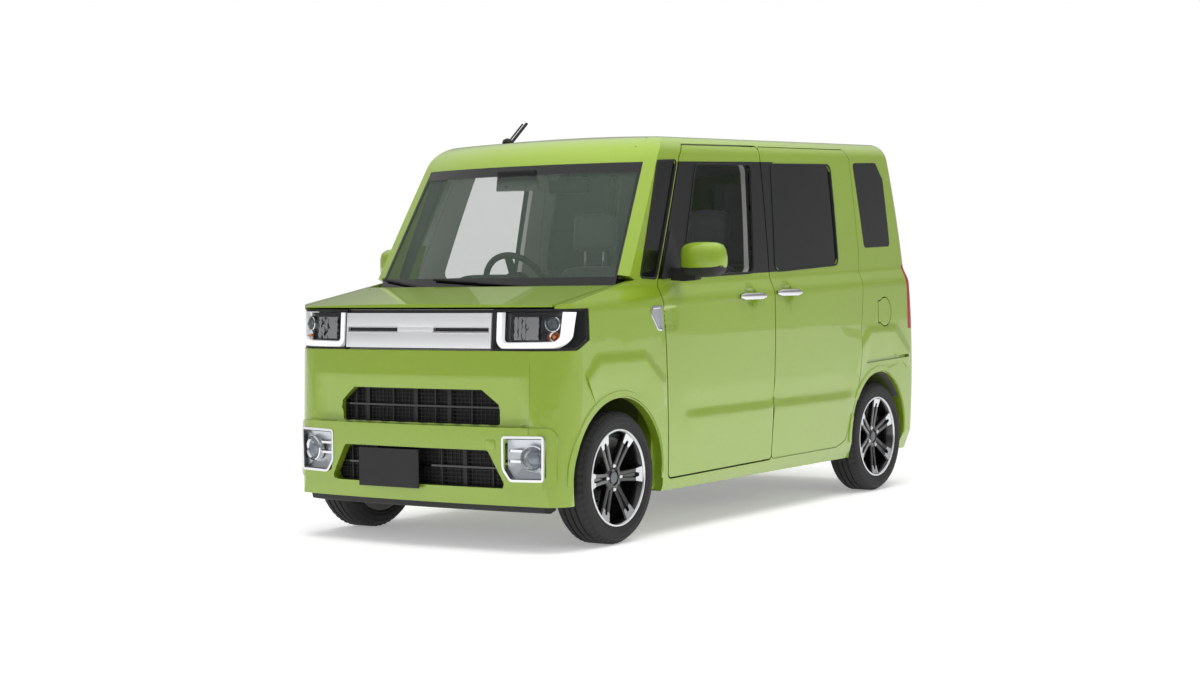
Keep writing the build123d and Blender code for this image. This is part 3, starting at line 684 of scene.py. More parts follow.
def lampInside(side):
    s = lampSizes
    depths, way = s["depths"], s["way"]
    clay = Clay("lightGuide", "glossBlack", "chrome", "domeGlass", "amber")
    inner = spaced(rounded(s["guide"], 0.02, 4, False), 0.012, False)
    rings = []
    for k, p in enumerate(inner):  # flat light guide behind the lens
        ahead = inner[min(k + 1, len(inner) - 1)] - inner[max(k - 1, 0)]
        across = Vector((-ahead.y, ahead.x)).normalized() * s["guideWide"] / 2
        back, face = depths["guideBack"], depths["guideFace"]
        section = (p - across, back), (p - across * 0.8, face), (p + across * 0.8, face), (p + across, back)
        rings.append([noseSpot(*place) for place in section])
    clay.use(0).skin(rings)
    panel = spaced(rounded(s["panel"], 0.012), 0.02)
    clay.use(1).patch(panel, noseSpot, depths["panel"], 0.0, 4)
    y0, y1, z0, z1 = s["reflector"]
    columns, rows = s["facets"]
    for i in range(columns):  # faceted reflector: each facet is tilted its own way
        for j in range(rows):
            a, b = y0 + (y1 - y0) * i / columns, y0 + (y1 - y0) * (i + 1) / columns
            c, d = z0 + (z1 - z0) * j / rows, z0 + (z1 - z0) * (j + 1) / rows
            tilt = s["tilt"] * math.sin(2.4 * i + 1.7 * j)
            rake = s["rake"] * abs(i - (columns - 1) / 2) / columns
            corners = [noseSpot((y, z), depths["facet"] + rake + lift) for y, z, lift in
                       ((a, c, tilt), (b, c, -tilt), (b, d, tilt), (a, d, -tilt))]
            clay.use(2).face([clay.mesh.verts.new(p) for p in corners])
    spot = noseSpot(s["projector"], depths["projector"])
    bowl = s["bowl"]
    rim = [(bowl + 0.003, 0), (bowl + 0.003, 0.024), (bowl - 0.001, 0.027), (bowl - 0.004, 0.022)]
    clay.use(2).lathe(rim, spot, way, 32, None, False)
    dome = [(bowl - 0.004, 0.018), (0.024, 0.024), (0.018, 0.030), (0.009, 0.034), (0.001, 0.035)]
    clay.use(3).lathe(dome, spot, way, 32)
    spot = noseSpot(s["indicator"], depths["indicator"])
    clay.use(2).lathe([(0.006, 0.000), (0.022, 0.010), (0.027, 0.020)], spot, way, 20, None, False)
    clay.use(4).lathe([(0.007, 0.002), (0.008, 0.014), (0.005, 0.019), (0.001, 0.020)], spot, way, 16)
    clay.done("lampInside_" + sideNames[side], "body", "lamp_inner", (), 0, 30, side < 0)


fogSizes = {"outline": [(0.455, 0.480), (0.655, 0.484), (0.652, 0.296), (0.492, 0.293), (0.455, 0.345)],
            "bezel": 0.010, "disc": (0.590, 0.391), "radius": 0.054, "bars": (0.415, 0.372),
            "barEnds": (0.478, 0.545), "lean": 0.10, "way": (0.97, 0.24, 0)}


def fogLamp(side):
    f = fogSizes
    clay = Clay("chrome", "satin", "domeGlass", "glossBlack")
    outer = spaced(rounded(f["outline"], 0.016), 0.012)
    inner, deep = shrunk(outer, f["bezel"]), shrunk(outer, f["bezel"] + 0.004)
    level = max(noseSpot(p, 0).x for p in outer)

    def place(p, depth):  # the lamp's own plane, leaning back with the nose
        return Vector((level + depth - (p[0] - f["outline"][0][0]) * f["lean"], p[0], p[1]))
    clay.use(0).frame(outer, inner, place, -0.030, 0.003)
    clay.use(3).frame(inner, deep, place, -0.034, -0.004)
    clay.use(1).patch(deep, place, -0.022, 0.012, 4)
    spot = place(f["disc"], -0.026)
    way, wide = f["way"], f["radius"]
    cup = [(wide, -0.006), (wide, 0.016), (wide - 0.005, 0.020), (wide - 0.011, 0.010), (0.030, 0.000),
           (0.022, -0.006)]
    clay.use(0).lathe(cup, spot, way, 40, None, False)
    clay.use(1).lathe([(0.024, -0.006), (0.024, 0.006), (0.018, 0.009), (0.001, 0.010)], spot, way, 32)
    clay.use(2).lathe([(wide - 0.008, 0.010), (0.036, 0.017), (0.020, 0.022), (0.001, 0.024)], spot, way, 40)
    start, end = f["barEnds"]
    for z in f["bars"]:
        clay.use(0).box(place((start, z), -0.030), place((end, z + 0.010), -0.012))
    clay.done("fogLamp_" + sideNames[side], "body", "chrome", ["fog_lamps"], 0, 30, side < 0)


finishes["satin"] = brightMetal("satinReflector", rgb(188, 192, 198), 0.3, 0.1)
for side in sideNames:
    lampInside(side)
    fogLamp(side)
print("lamps made")

noseForm = {"front": 1.6805, "level": 0.43, "rise": 0.00931, "bow": -0.08658, "plan": 6.0, "recess": 0.024,
            "recessHalf": 0.582, "recessLow": 0.5155, "recessTop": 0.716, "fall": 0.165, "fade": 0.05}


def faceAt(point, depth):  # the smooth front of the nose, openings or not
    n = noseForm
    up = point[1] - n["level"]
    x = n["front"] + n["rise"] * up + n["bow"] * up ** 2 - point[0] ** 2 / (2 * n["plan"])
    return Vector((x + depth, point[0], point[1]))


def slab(clay, y0, y1, z0, z1, front, back, step=0.03):  # a bar that follows the nose
    count = max(2, round(abs(y1 - y0) / step))
    rings = []
    for k in range(count + 1):
        y = y0 + (y1 - y0) * k / count
        rings.append([faceAt((y, z), d) for z, d in ((z0, back), (z0, front), (z1, front), (z1, back))])
    return clay.skin(rings)


grilleSizes = {"half": 0.391, "z": (0.838, 0.984), "slot": (0.097, 0.380, 0.906, 0.924), "lip": 0.007,
               "thick": 0.016, "backing": (0.829, 0.999)}


def grilleFace():
    g = grilleSizes
    clay = Clay("silver", "glossBlack", "chrome")
    y0, y1, z0, z1 = g["slot"]
    slab(clay.use(1), -g["half"], g["half"], *g["backing"], -0.014, -0.028)
    for low, high in ((g["z"][0], z0), (z1, g["z"][1])):
        slab(clay.use(0), -g["half"], g["half"], low, high, 0.0, -g["thick"])
    for a, b in ((-y0, y0), (y1, g["half"]), (-g["half"], -y1)):
        slab(clay, a, b, z0, z1, 0.0, -g["thick"], 0.05)
    for side in sideNames:
        slab(clay.use(2), side * y0, side * y1, z0 - g["lip"], z0 + 0.001, 0.004, -0.010)
        slab(clay, side * y0, side * y1, z1 - 0.001, z1 + 0.003, 0.0025, -0.010)
    clay.done("grilleFace", "body", "silver", ["grille_panel"], 0.0012, 40)


intakeSizes = {"upper": {"outline": [(-0.424, 0.522), (0.424, 0.522), (0.424, 0.606), (0.345, 0.667),
                                     (-0.345, 0.667), (-0.424, 0.606)], "bars": (0.592,),
                         "posts": (-0.363, -0.296, -0.15, -0.025, 0.08, 0.154, 0.27), "front": -0.040},
               "lower": {"outline": [(-0.475, 0.263), (0.475, 0.263), (0.385, 0.420), (-0.385, 0.420)],
                         "bars": (0.343,), "posts": (-0.38, -0.24, 0.12, 0.24, 0.38), "front": -0.026},
               "pitch": (0.021, 0.0165), "wire": 0.0014, "deep": 0.028, "bar": 0.004,
               "postHalves": (0.004, 0.010)}


def spanAt(outline, across, axis):  # where a straight line enters and leaves an outline
    hits = []
    for a, b in zip(outline, outline[1:] + outline[:1]):
        if (a[axis] - across) * (b[axis] - across) < 0:
            t = (across - a[axis]) / (b[axis] - a[axis])
            hits.append(a[1 - axis] + t * (b[1 - axis] - a[1 - axis]))
    return (min(hits), max(hits)) if hits else None


def intakeMesh():
    s = intakeSizes
    clay = Clay("black_plastic", "glossBlack")
    for hole in (s["upper"], s["lower"]):
        line, front = hole["outline"], hole["front"]
        rim = spaced([Vector(p) for p in line], 0.05)
        clay.use(0).skin([[faceAt(p, d) for p in rim] for d in (front, front - s["deep"])], True, False)
        clay.patch(rim, faceAt, front - s["deep"], 0.0, 4)
        across, up = s["pitch"]
        wire = s["wire"]
        for y in (k * across for k in range(-24, 25)):
            span = spanAt(line, y, 0)
            if span:
                slab(clay, y - wire, y + wire, *span, front - 0.010, front - 0.016)
        for z in (k * up for k in range(60)):
            span = spanAt(line, z, 1)
            if span:
                slab(clay, *span, z - wire, z + wire, front - 0.009, front - 0.015, 0.06)
        for z in hole["bars"]:
            slab(clay.use(1), *spanAt(line, z, 1), z - s["bar"], z + s["bar"], front, front - 0.014)
        for k, y in enumerate(hole["posts"]):
            half = s["postHalves"][k % 2]
            slab(clay.use(0), y - half, y + half, *spanAt(line, y, 0), front - 0.004, front - 0.018)
    clay.done("intakeMesh", "body", "black_plastic", ["intake_grilles"], 0, 40)


def meets(face, low, high):  # whether a face's own box reaches into a box
    spans = [[v.co[i] for v in face.verts] for i in range(3)]
    return all(max(span) > low[i] and min(span) < high[i] for i, span in enumerate(spans))


def pressed(node, name, body, cuts, shift):  # a panel's own surface, cut finer, with forms pressed into it
    thing = parts[node]
    clay = Clay("paint")
    clay.mesh.from_mesh(thing.data)
    clay.mesh.transform(thing.matrix_world)
    for axis, start, step, count, low, high in cuts:  # planes across an axis, within a box
        way = Vector((axis == 0, axis == 1, axis == 2))
        for k in range(count):
            near = [f for f in clay.mesh.faces if meets(f, low, high)]
            ends = {e for f in near for e in f.edges}
            tips = {v for f in near for v in f.verts}
            spot = way * (start + step * k)
            bmesh.ops.bisect_plane(clay.mesh, geom=[*tips, *ends, *near], plane_co=spot, plane_no=way)
    for v in clay.mesh.verts:
        v.co += shift(v.co.copy())
    for f in clay.mesh.faces:
        f.smooth = True
    clay.done(name, body, "paint", [node], 0, 24)


def ramp(value, start, end):  # 0 at start, 1 at end, eased
    t = min(1, max(0, (value - start) / (end - start)))
    return t * t * (3 - 2 * t)


def bumperForm(spot):  # the face falls back to the upper intake above the bar
    n = noseForm
    if spot.z < n["recessLow"] or abs(spot.x - faceAt((spot.y, spot.z), 0).x) > 0.006:
        return Vector()
    side = min(1, max(0, (n["recessHalf"] - abs(spot.y)) / n["fade"]))
    fall = min(1, max(0, (n["recessTop"] - spot.z) / n["fall"]))
    return Vector((-n["recess"] * side * fall, 0, 0))


sideForms = {"crease": (0.640, 0.540, 0.495, 0.360), "dip": 0.0045, "swell": 0.003,  # heights from the top
             "creaseEnds": ((0.74, 0.60), (-0.98, -0.86)),
             "bowl": 0.052, "bowlDeep": 0.011, "bowls": ((0.080, 1.030), (-0.271, 1.043)), "blister": 0.007,
             "blisters": ((1.195, 0.180, 0.790), (-1.275, 0.150, 0.848)),  # middle, half length, height
             "dent": (0.745, 0.855, 0.895, 1.000, 0.006)}  # ends, heights, depth


def sideForm(spot):  # how far the outer side moves at a spot
    f, x, z = sideForms, spot.x, spot.z
    hit = flankSheet.ray_cast(Vector((x, 3, z)), Vector((0, -1, 0)))[0]
    if hit is None or abs(spot.y) < hit.y - 0.004:
        return Vector()
    top, dip, swell, low = f["crease"]
    out = (f["dip"] + f["swell"]) * ramp(z, dip, swell)
    out -= f["dip"] * ramp(z, top, dip) + f["swell"] * ramp(z, swell, low)
    for fade in f["creaseEnds"]:
        out *= ramp(x, *fade)
    for bowlX, bowlZ in f["bowls"]:
        share = 1 - ((x - bowlX) ** 2 + (z - bowlZ) ** 2) / f["bowl"] ** 2
        out -= f["bowlDeep"] * max(0, share) ** 0.6
    for middle, half, height in f["blisters"]:
        edge = height - 0.8 * max(0, abs(x - middle) - half)
        if abs(x - middle) < half + 0.16:
            out += f["blister"] * ramp(z, edge + 0.018, edge - 0.018) * ramp(z, edge - 0.19, edge - 0.02)
    x0, x1, z0, z1, deep = f["dent"]
    out -= deep * ramp(x, x0, x0 + 0.03) * (x < x1) * ramp(z, z0, z0 + 0.012) * ramp(z, z1, z1 - 0.012)
    return Vector((0, math.copysign(1, spot.y) * out, 0))


panelCuts = {"nose": ((1.5, -0.62, 0.50), (1.8, 0.62, 0.74)), "lower": ((0.06, 15), (0.0155, 20)),
             "bowl": ((0.0104, 11), (0.0104, 11)), "dent": ((0.012, 10), (0.010, 13)),
             "rearArch": ((0.025, 25), (0.012, 20)), "frontArch": ((0.025, 30), (0.012, 20))}  # step, count


def cutsOf(low, high, steps):  # planes over a box on both sides of the car
    grown = (low[0], -0.8, low[1]), (high[0], 0.8, high[1])
    return [(axis, (low[k] + high[k]) / 2 - step * (count - 1) / 2, step, count, *grown)
            for k, (axis, (step, count)) in enumerate(zip((0, 2), steps))]


def pressPanels():
    c = panelCuts
    nose = [(2, 0.5165, 0.0155, 14, *c["nose"]), (1, -0.608, 0.0304, 41, *c["nose"])]
    pressed("front_bumper", "bumperSkin", "body", nose, bumperForm)
    for side in sideNames.values():
        front = cutsOf((-0.14, 0.34), (0.80, 0.66), c["lower"])
        front += cutsOf((0.025, 0.975), (0.135, 1.085), c["bowl"])
        front += cutsOf((0.73, 0.88), (0.86, 1.01), c["dent"])
        pressed("door_" + side, "doorSkin_" + side, side + "_door", front, sideForm)
        slide = cutsOf((-1.02, 0.34), (-0.10, 0.66), c["lower"])
        slide += cutsOf((-0.326, 0.988), (-0.216, 1.098), c["bowl"])
        pressed("sliding_door_" + side, "slidingDoorSkin_" + side, "body", slide, sideForm)
        arch = cutsOf((-1.60, 0.66), (-1.00, 0.91), c["rearArch"])
        pressed("body_side_" + side, "bodySideSkin_" + side, "body", arch, sideForm)
    arch = cutsOf((0.83, 0.58), (1.60, 0.83), c["frontArch"])
    pressed("front_fenders", "fenderSkin", "body", arch, sideForm)


grilleFace()
intakeMesh()
pressPanels()
print("grille, intakes and pressed panels made")

mirrorSizes = {"y": (0.752, 0.9605), "z": (1.104, 1.276), "x": (0.690, 0.775), "seam": 1.172, "around": 28,
               "stations": [(0.0, 0.55, 0.45), (0.04, 0.80, 0.75), (0.12, 0.93, 0.92), (0.3, 1.0, 1.0),
                            (0.6, 1.0, 0.98), (0.82, 0.95, 0.90), (0.93, 0.84, 0.74), (0.985, 0.62, 0.5),
                            (1.0, 0.40, 0.3)],  # share of the width, height and depth there
               "glass": ((0.775, 1.150), (0.775, 1.258), (0.945, 1.252), (0.940, 1.140), (0.800, 1.128)),
               "sail": ((0.640, 1.128), (0.826, 1.112), (0.722, 1.330), (0.702, 1.330))}


def plump(v):  # squares a circle's cosine or sine
    return math.copysign(abs(v) ** 0.62, v)


def doorMirror(side):
    m = mirrorSizes
    name = sideNames[side]
    clay = Clay("capPaint", "black_plastic", "mirror")
    middle, tall = (m["z"][0] + m["z"][1]) / 2, (m["z"][1] - m["z"][0]) / 2
    rings = []
    for t, high, deep in m["stations"]:
        y = m["y"][0] + (m["y"][1] - m["y"][0]) * t
        ring = []
        for k in range(m["around"]):
            a = 2 * math.pi * k / m["around"]
            bulge, lift = plump(math.cos(a)), plump(math.sin(a))
            depth = (m["x"][1] - m["x"][0]) * (0.78 * deep if bulge > 0 else 0.22)
            narrow = 0.80 if lift < 0 else 1.0  # the black lower half is shorter
            out = y if lift > -0.4 else y * 0.985 + 0.012
            ring.append((m["x"][0] + 0.022 + bulge * depth, out, middle + lift * tall * high * narrow))
        rings.append(ring)
    clay.skin(rings)
    for f in clay.mesh.faces:
        spot = f.calc_center_median()
        f.material_index = 0 if spot.z > m["seam"] and spot.x > m["x"][0] + 0.012 else 1
    glass = rounded(m["glass"], 0.02)
    clay.use(2).skin([[(m["x"][0] + d, p.x, p.y) for p in glass] for d in (0.002, -0.001)])
    arm = [[(0.668, 0.692, 1.118), (0.742, 0.690, 1.110), (0.742, 0.682, 1.165), (0.690, 0.682, 1.165)],
           [(0.690, 0.770, 1.108), (0.752, 0.770, 1.104), (0.750, 0.775, 1.160), (0.700, 0.775, 1.160)],
           [(0.700, 0.830, 1.112), (0.752, 0.830, 1.108), (0.750, 0.830, 1.150), (0.706, 0.830, 1.150)]]
    clay.use(1).skin(arm)
    sail = rounded(m["sail"], 0.012)
    clay.skin([[onCar("flank", p.x, p.y, d)[0] for p in sail] for d in (-0.002, 0.004)])
    clay.done("mirrorDressed_" + name, name + "_door", "paint", ["mirror_" + name], 0.0, 35, side < 0)


handleSizes = {"door": (-0.040, 0.200, 1.030), "slide": (-0.391, -0.151, 1.043),  # ends, height
               "thick": 0.0065, "tall": 0.0155, "foot": 0.016, "below": 0.07}


def pullHandle(key, side, body, replaced):
    h = handleSizes
    x0, x1, z = h[key]
    clay = Clay("chrome", "glossBlack")
    rings = []
    for k in range(17):
        t = k / 16
        x = x0 + (x1 - x0) * t
        end = max(0.25, min(1, 6 * t, 6 * (1 - t))) ** 0.5
        surface = onCar("flank", x, z - h["below"])[0].y
        arch = surface + h["thick"] + 0.0075 * math.sin(math.pi * t)
        thick, tall = h["thick"] * end, h["tall"] * end
        turns = [2 * math.pi * s / 14 for s in range(14)]
        rings.append([(x, arch + thick * math.cos(a), z + tall * math.sin(a)) for a in turns])
    clay.skin(rings)
    for x in (x0 + h["foot"], x1 - h["foot"]):  # feet of the pull
        surface = onCar("flank", x, z - h["below"])[0].y
        clay.use(1).lathe([(0.010, -0.012), (0.010, 0.006), (0.007, 0.008)], (x, surface, z), (0, 1, 0), 16)
    clay.done(f"{key}Handle_{sideNames[side]}", body, "chrome", [replaced], 0, 40, side < 0)


garnishSizes = {"outline": ((0.874, 0.890), (0.878, 1.003), (0.962, 0.998), (0.966, 0.958), (0.915, 0.892)),
                "frame": 0.014, "proud": 0.0045}


def fenderGarnish():
    clay = Clay("chrome", "satin")
    outline = spaced(rounded(garnishSizes["outline"], 0.01), 0.01)
    inner = shrunk(outline, garnishSizes["frame"])
    for side in sideNames:
        place = standing("flank", (0, 1, 0), side)
        clay.use(0).frame(outline, inner, place, -0.002, garnishSizes["proud"])
        clay.use(1).patch(inner, place, 0.001, 0.0, 3)
    clay.done("fenderGarnish", "body", "chrome", ["fender_garnishes"], 0.0012, 40)


for side in sideNames:
    doorMirror(side)
for side, name in sideNames.items():
    pullHandle("door", side, name + "_door", "handle_" + name)
for side in sideNames:
    pullHandle("slide", side, "body", "sliding_door_handles")
fenderGarnish()
print("mirrors and handles made")

windows = {"front": [(0.650, 1.125), (0.440, 1.632), (-0.052, 1.650), (0.012, 1.143)],
           "rear": [(-0.205, 1.149), (-0.255, 1.656), (-0.860, 1.676), (-0.850, 1.180)],
           "quarter": [(0.985, 1.128), (0.868, 1.122), (0.612, 1.640), (0.762, 1.632)]}


sealSizes = {"corners": {"front": 0.035, "rear": 0.035, "quarter": 0.014}, "wide": 0.012, "proud": 0.003,
             "sunk": 0.006, "outside": 0.004}


def windowSeals():
    s = sealSizes
    for key, outline in windows.items():
        path = spaced(shrunk(rounded(outline, s["corners"][key]), -s["outside"]), 0.02)
        for side, name in sideNames.items():
            clay = Clay("rubber")
            clay.ribbon("flank", path, s["wide"], s["proud"], s["sunk"])
            body = name + "_door" if key == "front" else "body"
            clay.done(f"{key}Seal_{name}", body, "black_plastic", (), 0, 40, side < 0)


stripSizes = {"front": 0.760, "step": 0.088, "count": 26, "y": 0.534, "wide": 0.017, "proud": 0.0006,
              "sunk": 0.006}


def roofStrips():
    s = stripSizes
    clay = Clay("rubber")
    path = [Vector((s["front"] - s["step"] * k, s["y"])) for k in range(s["count"])]
    clay.ribbon("roof", path, s["wide"], s["proud"], s["sunk"], False)
    clay.mirrored()
    clay.ribbon("roof", path, s["wide"], s["proud"], s["sunk"], False)
    clay.done("roofStrips", "body", "black_plastic", (), 0, 40)


wiperSizes = {"spans": ((0.42, -0.27), (-0.26, -0.62)), "blade": 0.006, "arm": [0.011, 0.008, 0.005],
              "low": 1.078, "rise": 0.042, "pivot": 1.082}  # spans run from pivot to tip


def wiperArms():
    w = wiperSizes
    clay = Clay("black_plastic", "rubber")
    for pivot, tip in w["spans"]:
        blade = []
        for t in (0.02, 0.15, 0.3, 0.45, 0.6, 0.75, 0.9, 1.0):
            spot = onCar("screen", pivot + (tip - pivot) * t, w["low"] + w["rise"] * t)[0]
            blade.append(spot + Vector((0.009, 0, 0.004)))
        clay.use(1).tube(blade, w["blade"], 6)
        foot, hold = onCar("screen", pivot, w["pivot"])[0] + Vector((0.012, 0, 0)), blade[4]
        arm = [foot + Vector((0.012, 0.02, -0.012)), foot.lerp(hold, 0.35) + Vector((0.018, 0, 0)),
               hold + Vector((0.010, 0, 0))]
        clay.use(0).tube(arm, w["arm"], 8, 0.6)
        cap = [(0.016, -0.01), (0.016, 0.012), (0.010, 0.016), (0.001, 0.017)]
        clay.lathe(cap, arm[0], (0.4, 0, 0.9), 20)
    clay.done("wiperArms", "body", "black_plastic", ["wipers"], 0, 40)


podSizes = {"z": (1.520, 1.612), "steps": ((0.015, 0.115), (0.045, 0.11), (0.062, 0.085)),  # depth, half
            "eyes": (-0.055, 0.055)}


def cameraPod():  # behind the top of the windscreen
    clay = Clay("glossBlack", "rubber")
    front = onCar("screen", 0, 1.560)[0].x
    low, high = podSizes["z"]
    rings = []
    for deep, wide in podSizes["steps"]:
        ring = (-wide, low), (wide, low), (wide * 0.9, high), (-wide * 0.9, high)
        rings.append([(front - deep, y, z) for y, z in ring])
    clay.skin(rings)
    for y in podSizes["eyes"]:
        eye = [(0.015, 0.0), (0.015, 0.004), (0.008, 0.005), (0.001, 0.004)]
        clay.use(1).lathe(eye, (front - 0.020, y, 1.545), (1, 0, 0.4), 20)
    clay.done("cameraPod", "body", "black_plastic", (), 0.004, 30)


aerialSizes = {"place": (0.585, -0.300), "way": (-0.16, 0, 0.126), "coils": 21, "pitch": 0.0066}


def aerialBase():
    s = aerialSizes
    clay = Clay("black_plastic")
    x, y = s["place"]
    spot = onCar("roof", x, -y)[0] * Vector((1, -1, 1))  # the roof is the same on both sides
    clay.lathe([(0.026, -0.004), (0.024, 0.010), (0.012, 0.020), (0.001, 0.021)], spot, (-0.3, 0, 1), 24)
    way = Vector(s["way"]).normalized()
    for k in range(s["coils"]):
        along = way * (0.02 + s["pitch"] * k)
        clay.lathe([(0.0038, 0), (0.0045, 0.002), (0.0038, 0.004)], spot + along, way, 10)
    clay.done("aerialBase", "body", "black_plastic", (), 0, 30)


windowSeals()
roofStrips()
wiperArms()
cameraPod()
aerialBase()
print("seals and trim made")

finishes["headlining"] = wovenCloth("headlining", rgb(150, 149, 145), rgb(172, 171, 167), 900)


# a box with soft edges; lean is X per Z
def blob(clay, middle, half, lean=0.0, sharp=0.34, around=28, rows=14):
    def soft(v):
        return math.copysign(abs(v) ** sharp, v)
    rings = []
    for i in range(rows + 1):
        b = -math.pi / 2 + math.pi * (0.02 + 0.96 * i / rows)
        ring = []
        for k in range(around):
            a = 2 * math.pi * k / around
            dz = half[2] * soft(math.sin(b))
            spread = abs(math.cos(b)) ** sharp
            ring.append((middle[0] + half[0] * spread * soft(math.cos(a)) + lean * dz,
                         middle[1] + half[1] * spread * soft(math.sin(a)), middle[2] + dz))
        rings.append(ring)
    clay.skin(rings)
    return clay


padSizes = {"voxel": 0.011, "pressure": 4.0, "frames": 20, "cap": 0.014, "seam": 0.006, "seamWide": 0.008}
seatSizes = {"frontY": 0.33, "rearY": 0.275, "frontLean": -0.287, "rearLean": -0.183}


def seatPlan():  # name, node, list of middle, half size, lean
    s = seatSizes
    front, rear, plan = s["frontLean"], s["rearLean"], []
    for side, name in sideNames.items():
        y = side * s["frontY"]
        cushion = [((0.225, y, 0.620), (0.245, 0.205, 0.052), 0.0)]
        cushion += [((0.235, y + e * 0.200, 0.634), (0.225, 0.034, 0.050), 0.0) for e in (-1, 1)]
        back = [((-0.088, y, 0.925), (0.044, 0.195, 0.270), front)]
        back += [((-0.060, y + e * 0.196, 0.905), (0.056, 0.032, 0.215), front) for e in (-1, 1)]
        rest = [((-0.186, y, 1.352), (0.042, 0.118, 0.092), -0.05)]
        pieces = {"Cushion_": cushion, "Back_": back, "Headrest_": rest}
        plan += [("front" + key + name, "front_seats", pads) for key, pads in pieces.items()]
    for side, name in sideNames.items():
        y = side * s["rearY"]
        pieces = {"Cushion_": ((-0.630, y, 0.562), (0.245, 0.258, 0.048), 0.0),
                  "Back_": ((-0.900, y, 0.822), (0.042, 0.258, 0.245), rear),
                  "Headrest_": ((-0.966, y * 1.09, 1.226), (0.040, 0.115, 0.090), -0.04)}
        plan += [("rear" + key + name, "rear_seats", [pad]) for key, pad in pieces.items()]
    return plan


def baked(thing):  # the mesh as its modifiers leave it
    bpy.context.view_layer.update()
    mesh = bpy.data.meshes.new_from_object(thing.evaluated_get(bpy.context.evaluated_depsgraph_get()))
    thing.modifiers.clear()
    thing.data = mesh


def makeSeats():
    pads = []
    for name, node, blobs in seatPlan():
        clay = Clay("cloth")
        for middle, half, lean in blobs:
            blob(clay, middle, half, lean)
        pad = clay.done(name, "body", "cloth", [node])
        remesh = pad.modifiers.new("voxels", "REMESH")
        remesh.mode, remesh.voxel_size = "VOXEL", padSizes["voxel"]
        baked(pad)
        pads.append((pad, blobs))
    starts = {pad: [v.co.copy() for v in pad.data.vertices] for pad, _ in pads}
    for pad, _ in pads:
        cloth = pad.modifiers.new("stuffing", "CLOTH")
        cloth.settings.use_pressure = True
        cloth.settings.uniform_pressure_force = padSizes["pressure"]
        cloth.settings.effector_weights.gravity = 0
        cloth.point_cache.frame_end = padSizes["frames"]
    for k in range(1, padSizes["frames"] + 1):
        bpy.context.scene.frame_set(k)
    for pad, _ in pads:
        baked(pad)
    bpy.context.scene.frame_set(1)
    for pad, blobs in pads:
        middle, half, _ = blobs[0]
        for v, start in zip(pad.data.vertices, starts[pad]):
            move = v.co - start
            if move.length > padSizes["cap"]:
                v.co = start + move.normalized() * padSizes["cap"]
            seam = abs(abs(v.co.y - middle[1]) - half[1] * 0.55)
            if half[2] > 0.2:  # a back also has one across
                seam = min(seam, abs(v.co.z - middle[2] - half[2] * 0.45))
            groove = math.exp(-(seam / padSizes["seamWide"]) ** 2)  # sewn channels
            v.co -= v.normal * padSizes["seam"] * groove
        pad.data.polygons.foreach_set("use_smooth", [True] * len(pad.data.polygons))


frameSizes = {"front": ((0.02, -0.19, 0.34), (0.45, 0.19, 0.565)),
              "rear": ((-0.84, -0.50, 0.291), (-0.40, 0.50, 0.515)),
              "rails": (-0.16, 0.16), "posts": (-0.055, 0.055), "post": 0.006}


def seatFrames():
    f = frameSizes
    clay = Clay("interior_plastic", "chrome", "black_plastic")
    for y in (seatSizes["frontY"], -seatSizes["frontY"]):
        across = Vector((0, y, 0))
        clay.use(0).box(*(Vector(corner) + across for corner in f["front"]))
        for rail in f["rails"]:
            clay.use(2).box((0.00, y + rail - 0.02, 0.291), (0.46, y + rail + 0.02, 0.345))
        for post in f["posts"]:
            clay.use(1).tube([(-0.178, y + post, 1.17), (-0.182, y + post, 1.30)], f["post"], 10)
    clay.use(0).box(*f["rear"])
    for y in (-0.3, 0.3):
        for post in f["posts"]:
            clay.use(1).tube([(-0.958, y + post, 1.05), (-0.962, y + post, 1.19)], f["post"], 10)
    clay.done("seatFrames", "body", "interior_plastic", (), 0.012, 40)


columnTilt = math.radians(25)
column = {"start": Vector((0.480, -0.33, 1.075)),
          "way": Vector((math.cos(columnTilt), 0, -math.sin(columnTilt)))}
dashSizes = {"half": 0.600, "top": 1.121, "vents": (-0.54, -0.17, 0.17, 0.54), "ventHigh": 1.045,
             "slats": (-0.016, 0.0, 0.016), "knobs": (-0.06, 0.0, 0.06), "knobHigh": 0.935,
             "face": [(0.884, 0.802), (0.760, 0.802), (0.716, 0.840), (0.708, 0.930), (0.728, 0.968),
                      (0.722, 0.985), (0.706, 1.010), (0.704, 1.080), (0.722, 1.110)],
             "screen": ((0.690, 0.105, 0.985, 1.095), (0.676, 0.100, 0.990, 1.090))}  # x, half, low, high


def dashVent(clay, y):
    back, high = (-1, 0, 0), dashSizes["ventHigh"]
    spot = (0.712, y, high)
    ring = [(0.040, 0.0), (0.040, 0.016), (0.034, 0.018), (0.032, 0.006)]
    clay.use(3).lathe(ring, spot, back, 28, None, False)
    clay.use(1).lathe([(0.034, 0.008), (0.002, 0.008)], spot, back, 28)
    for slat in dashSizes["slats"]:
        clay.box((0.700, y - 0.030, high + slat - 0.002), (0.712, y + 0.030, high + slat + 0.002))


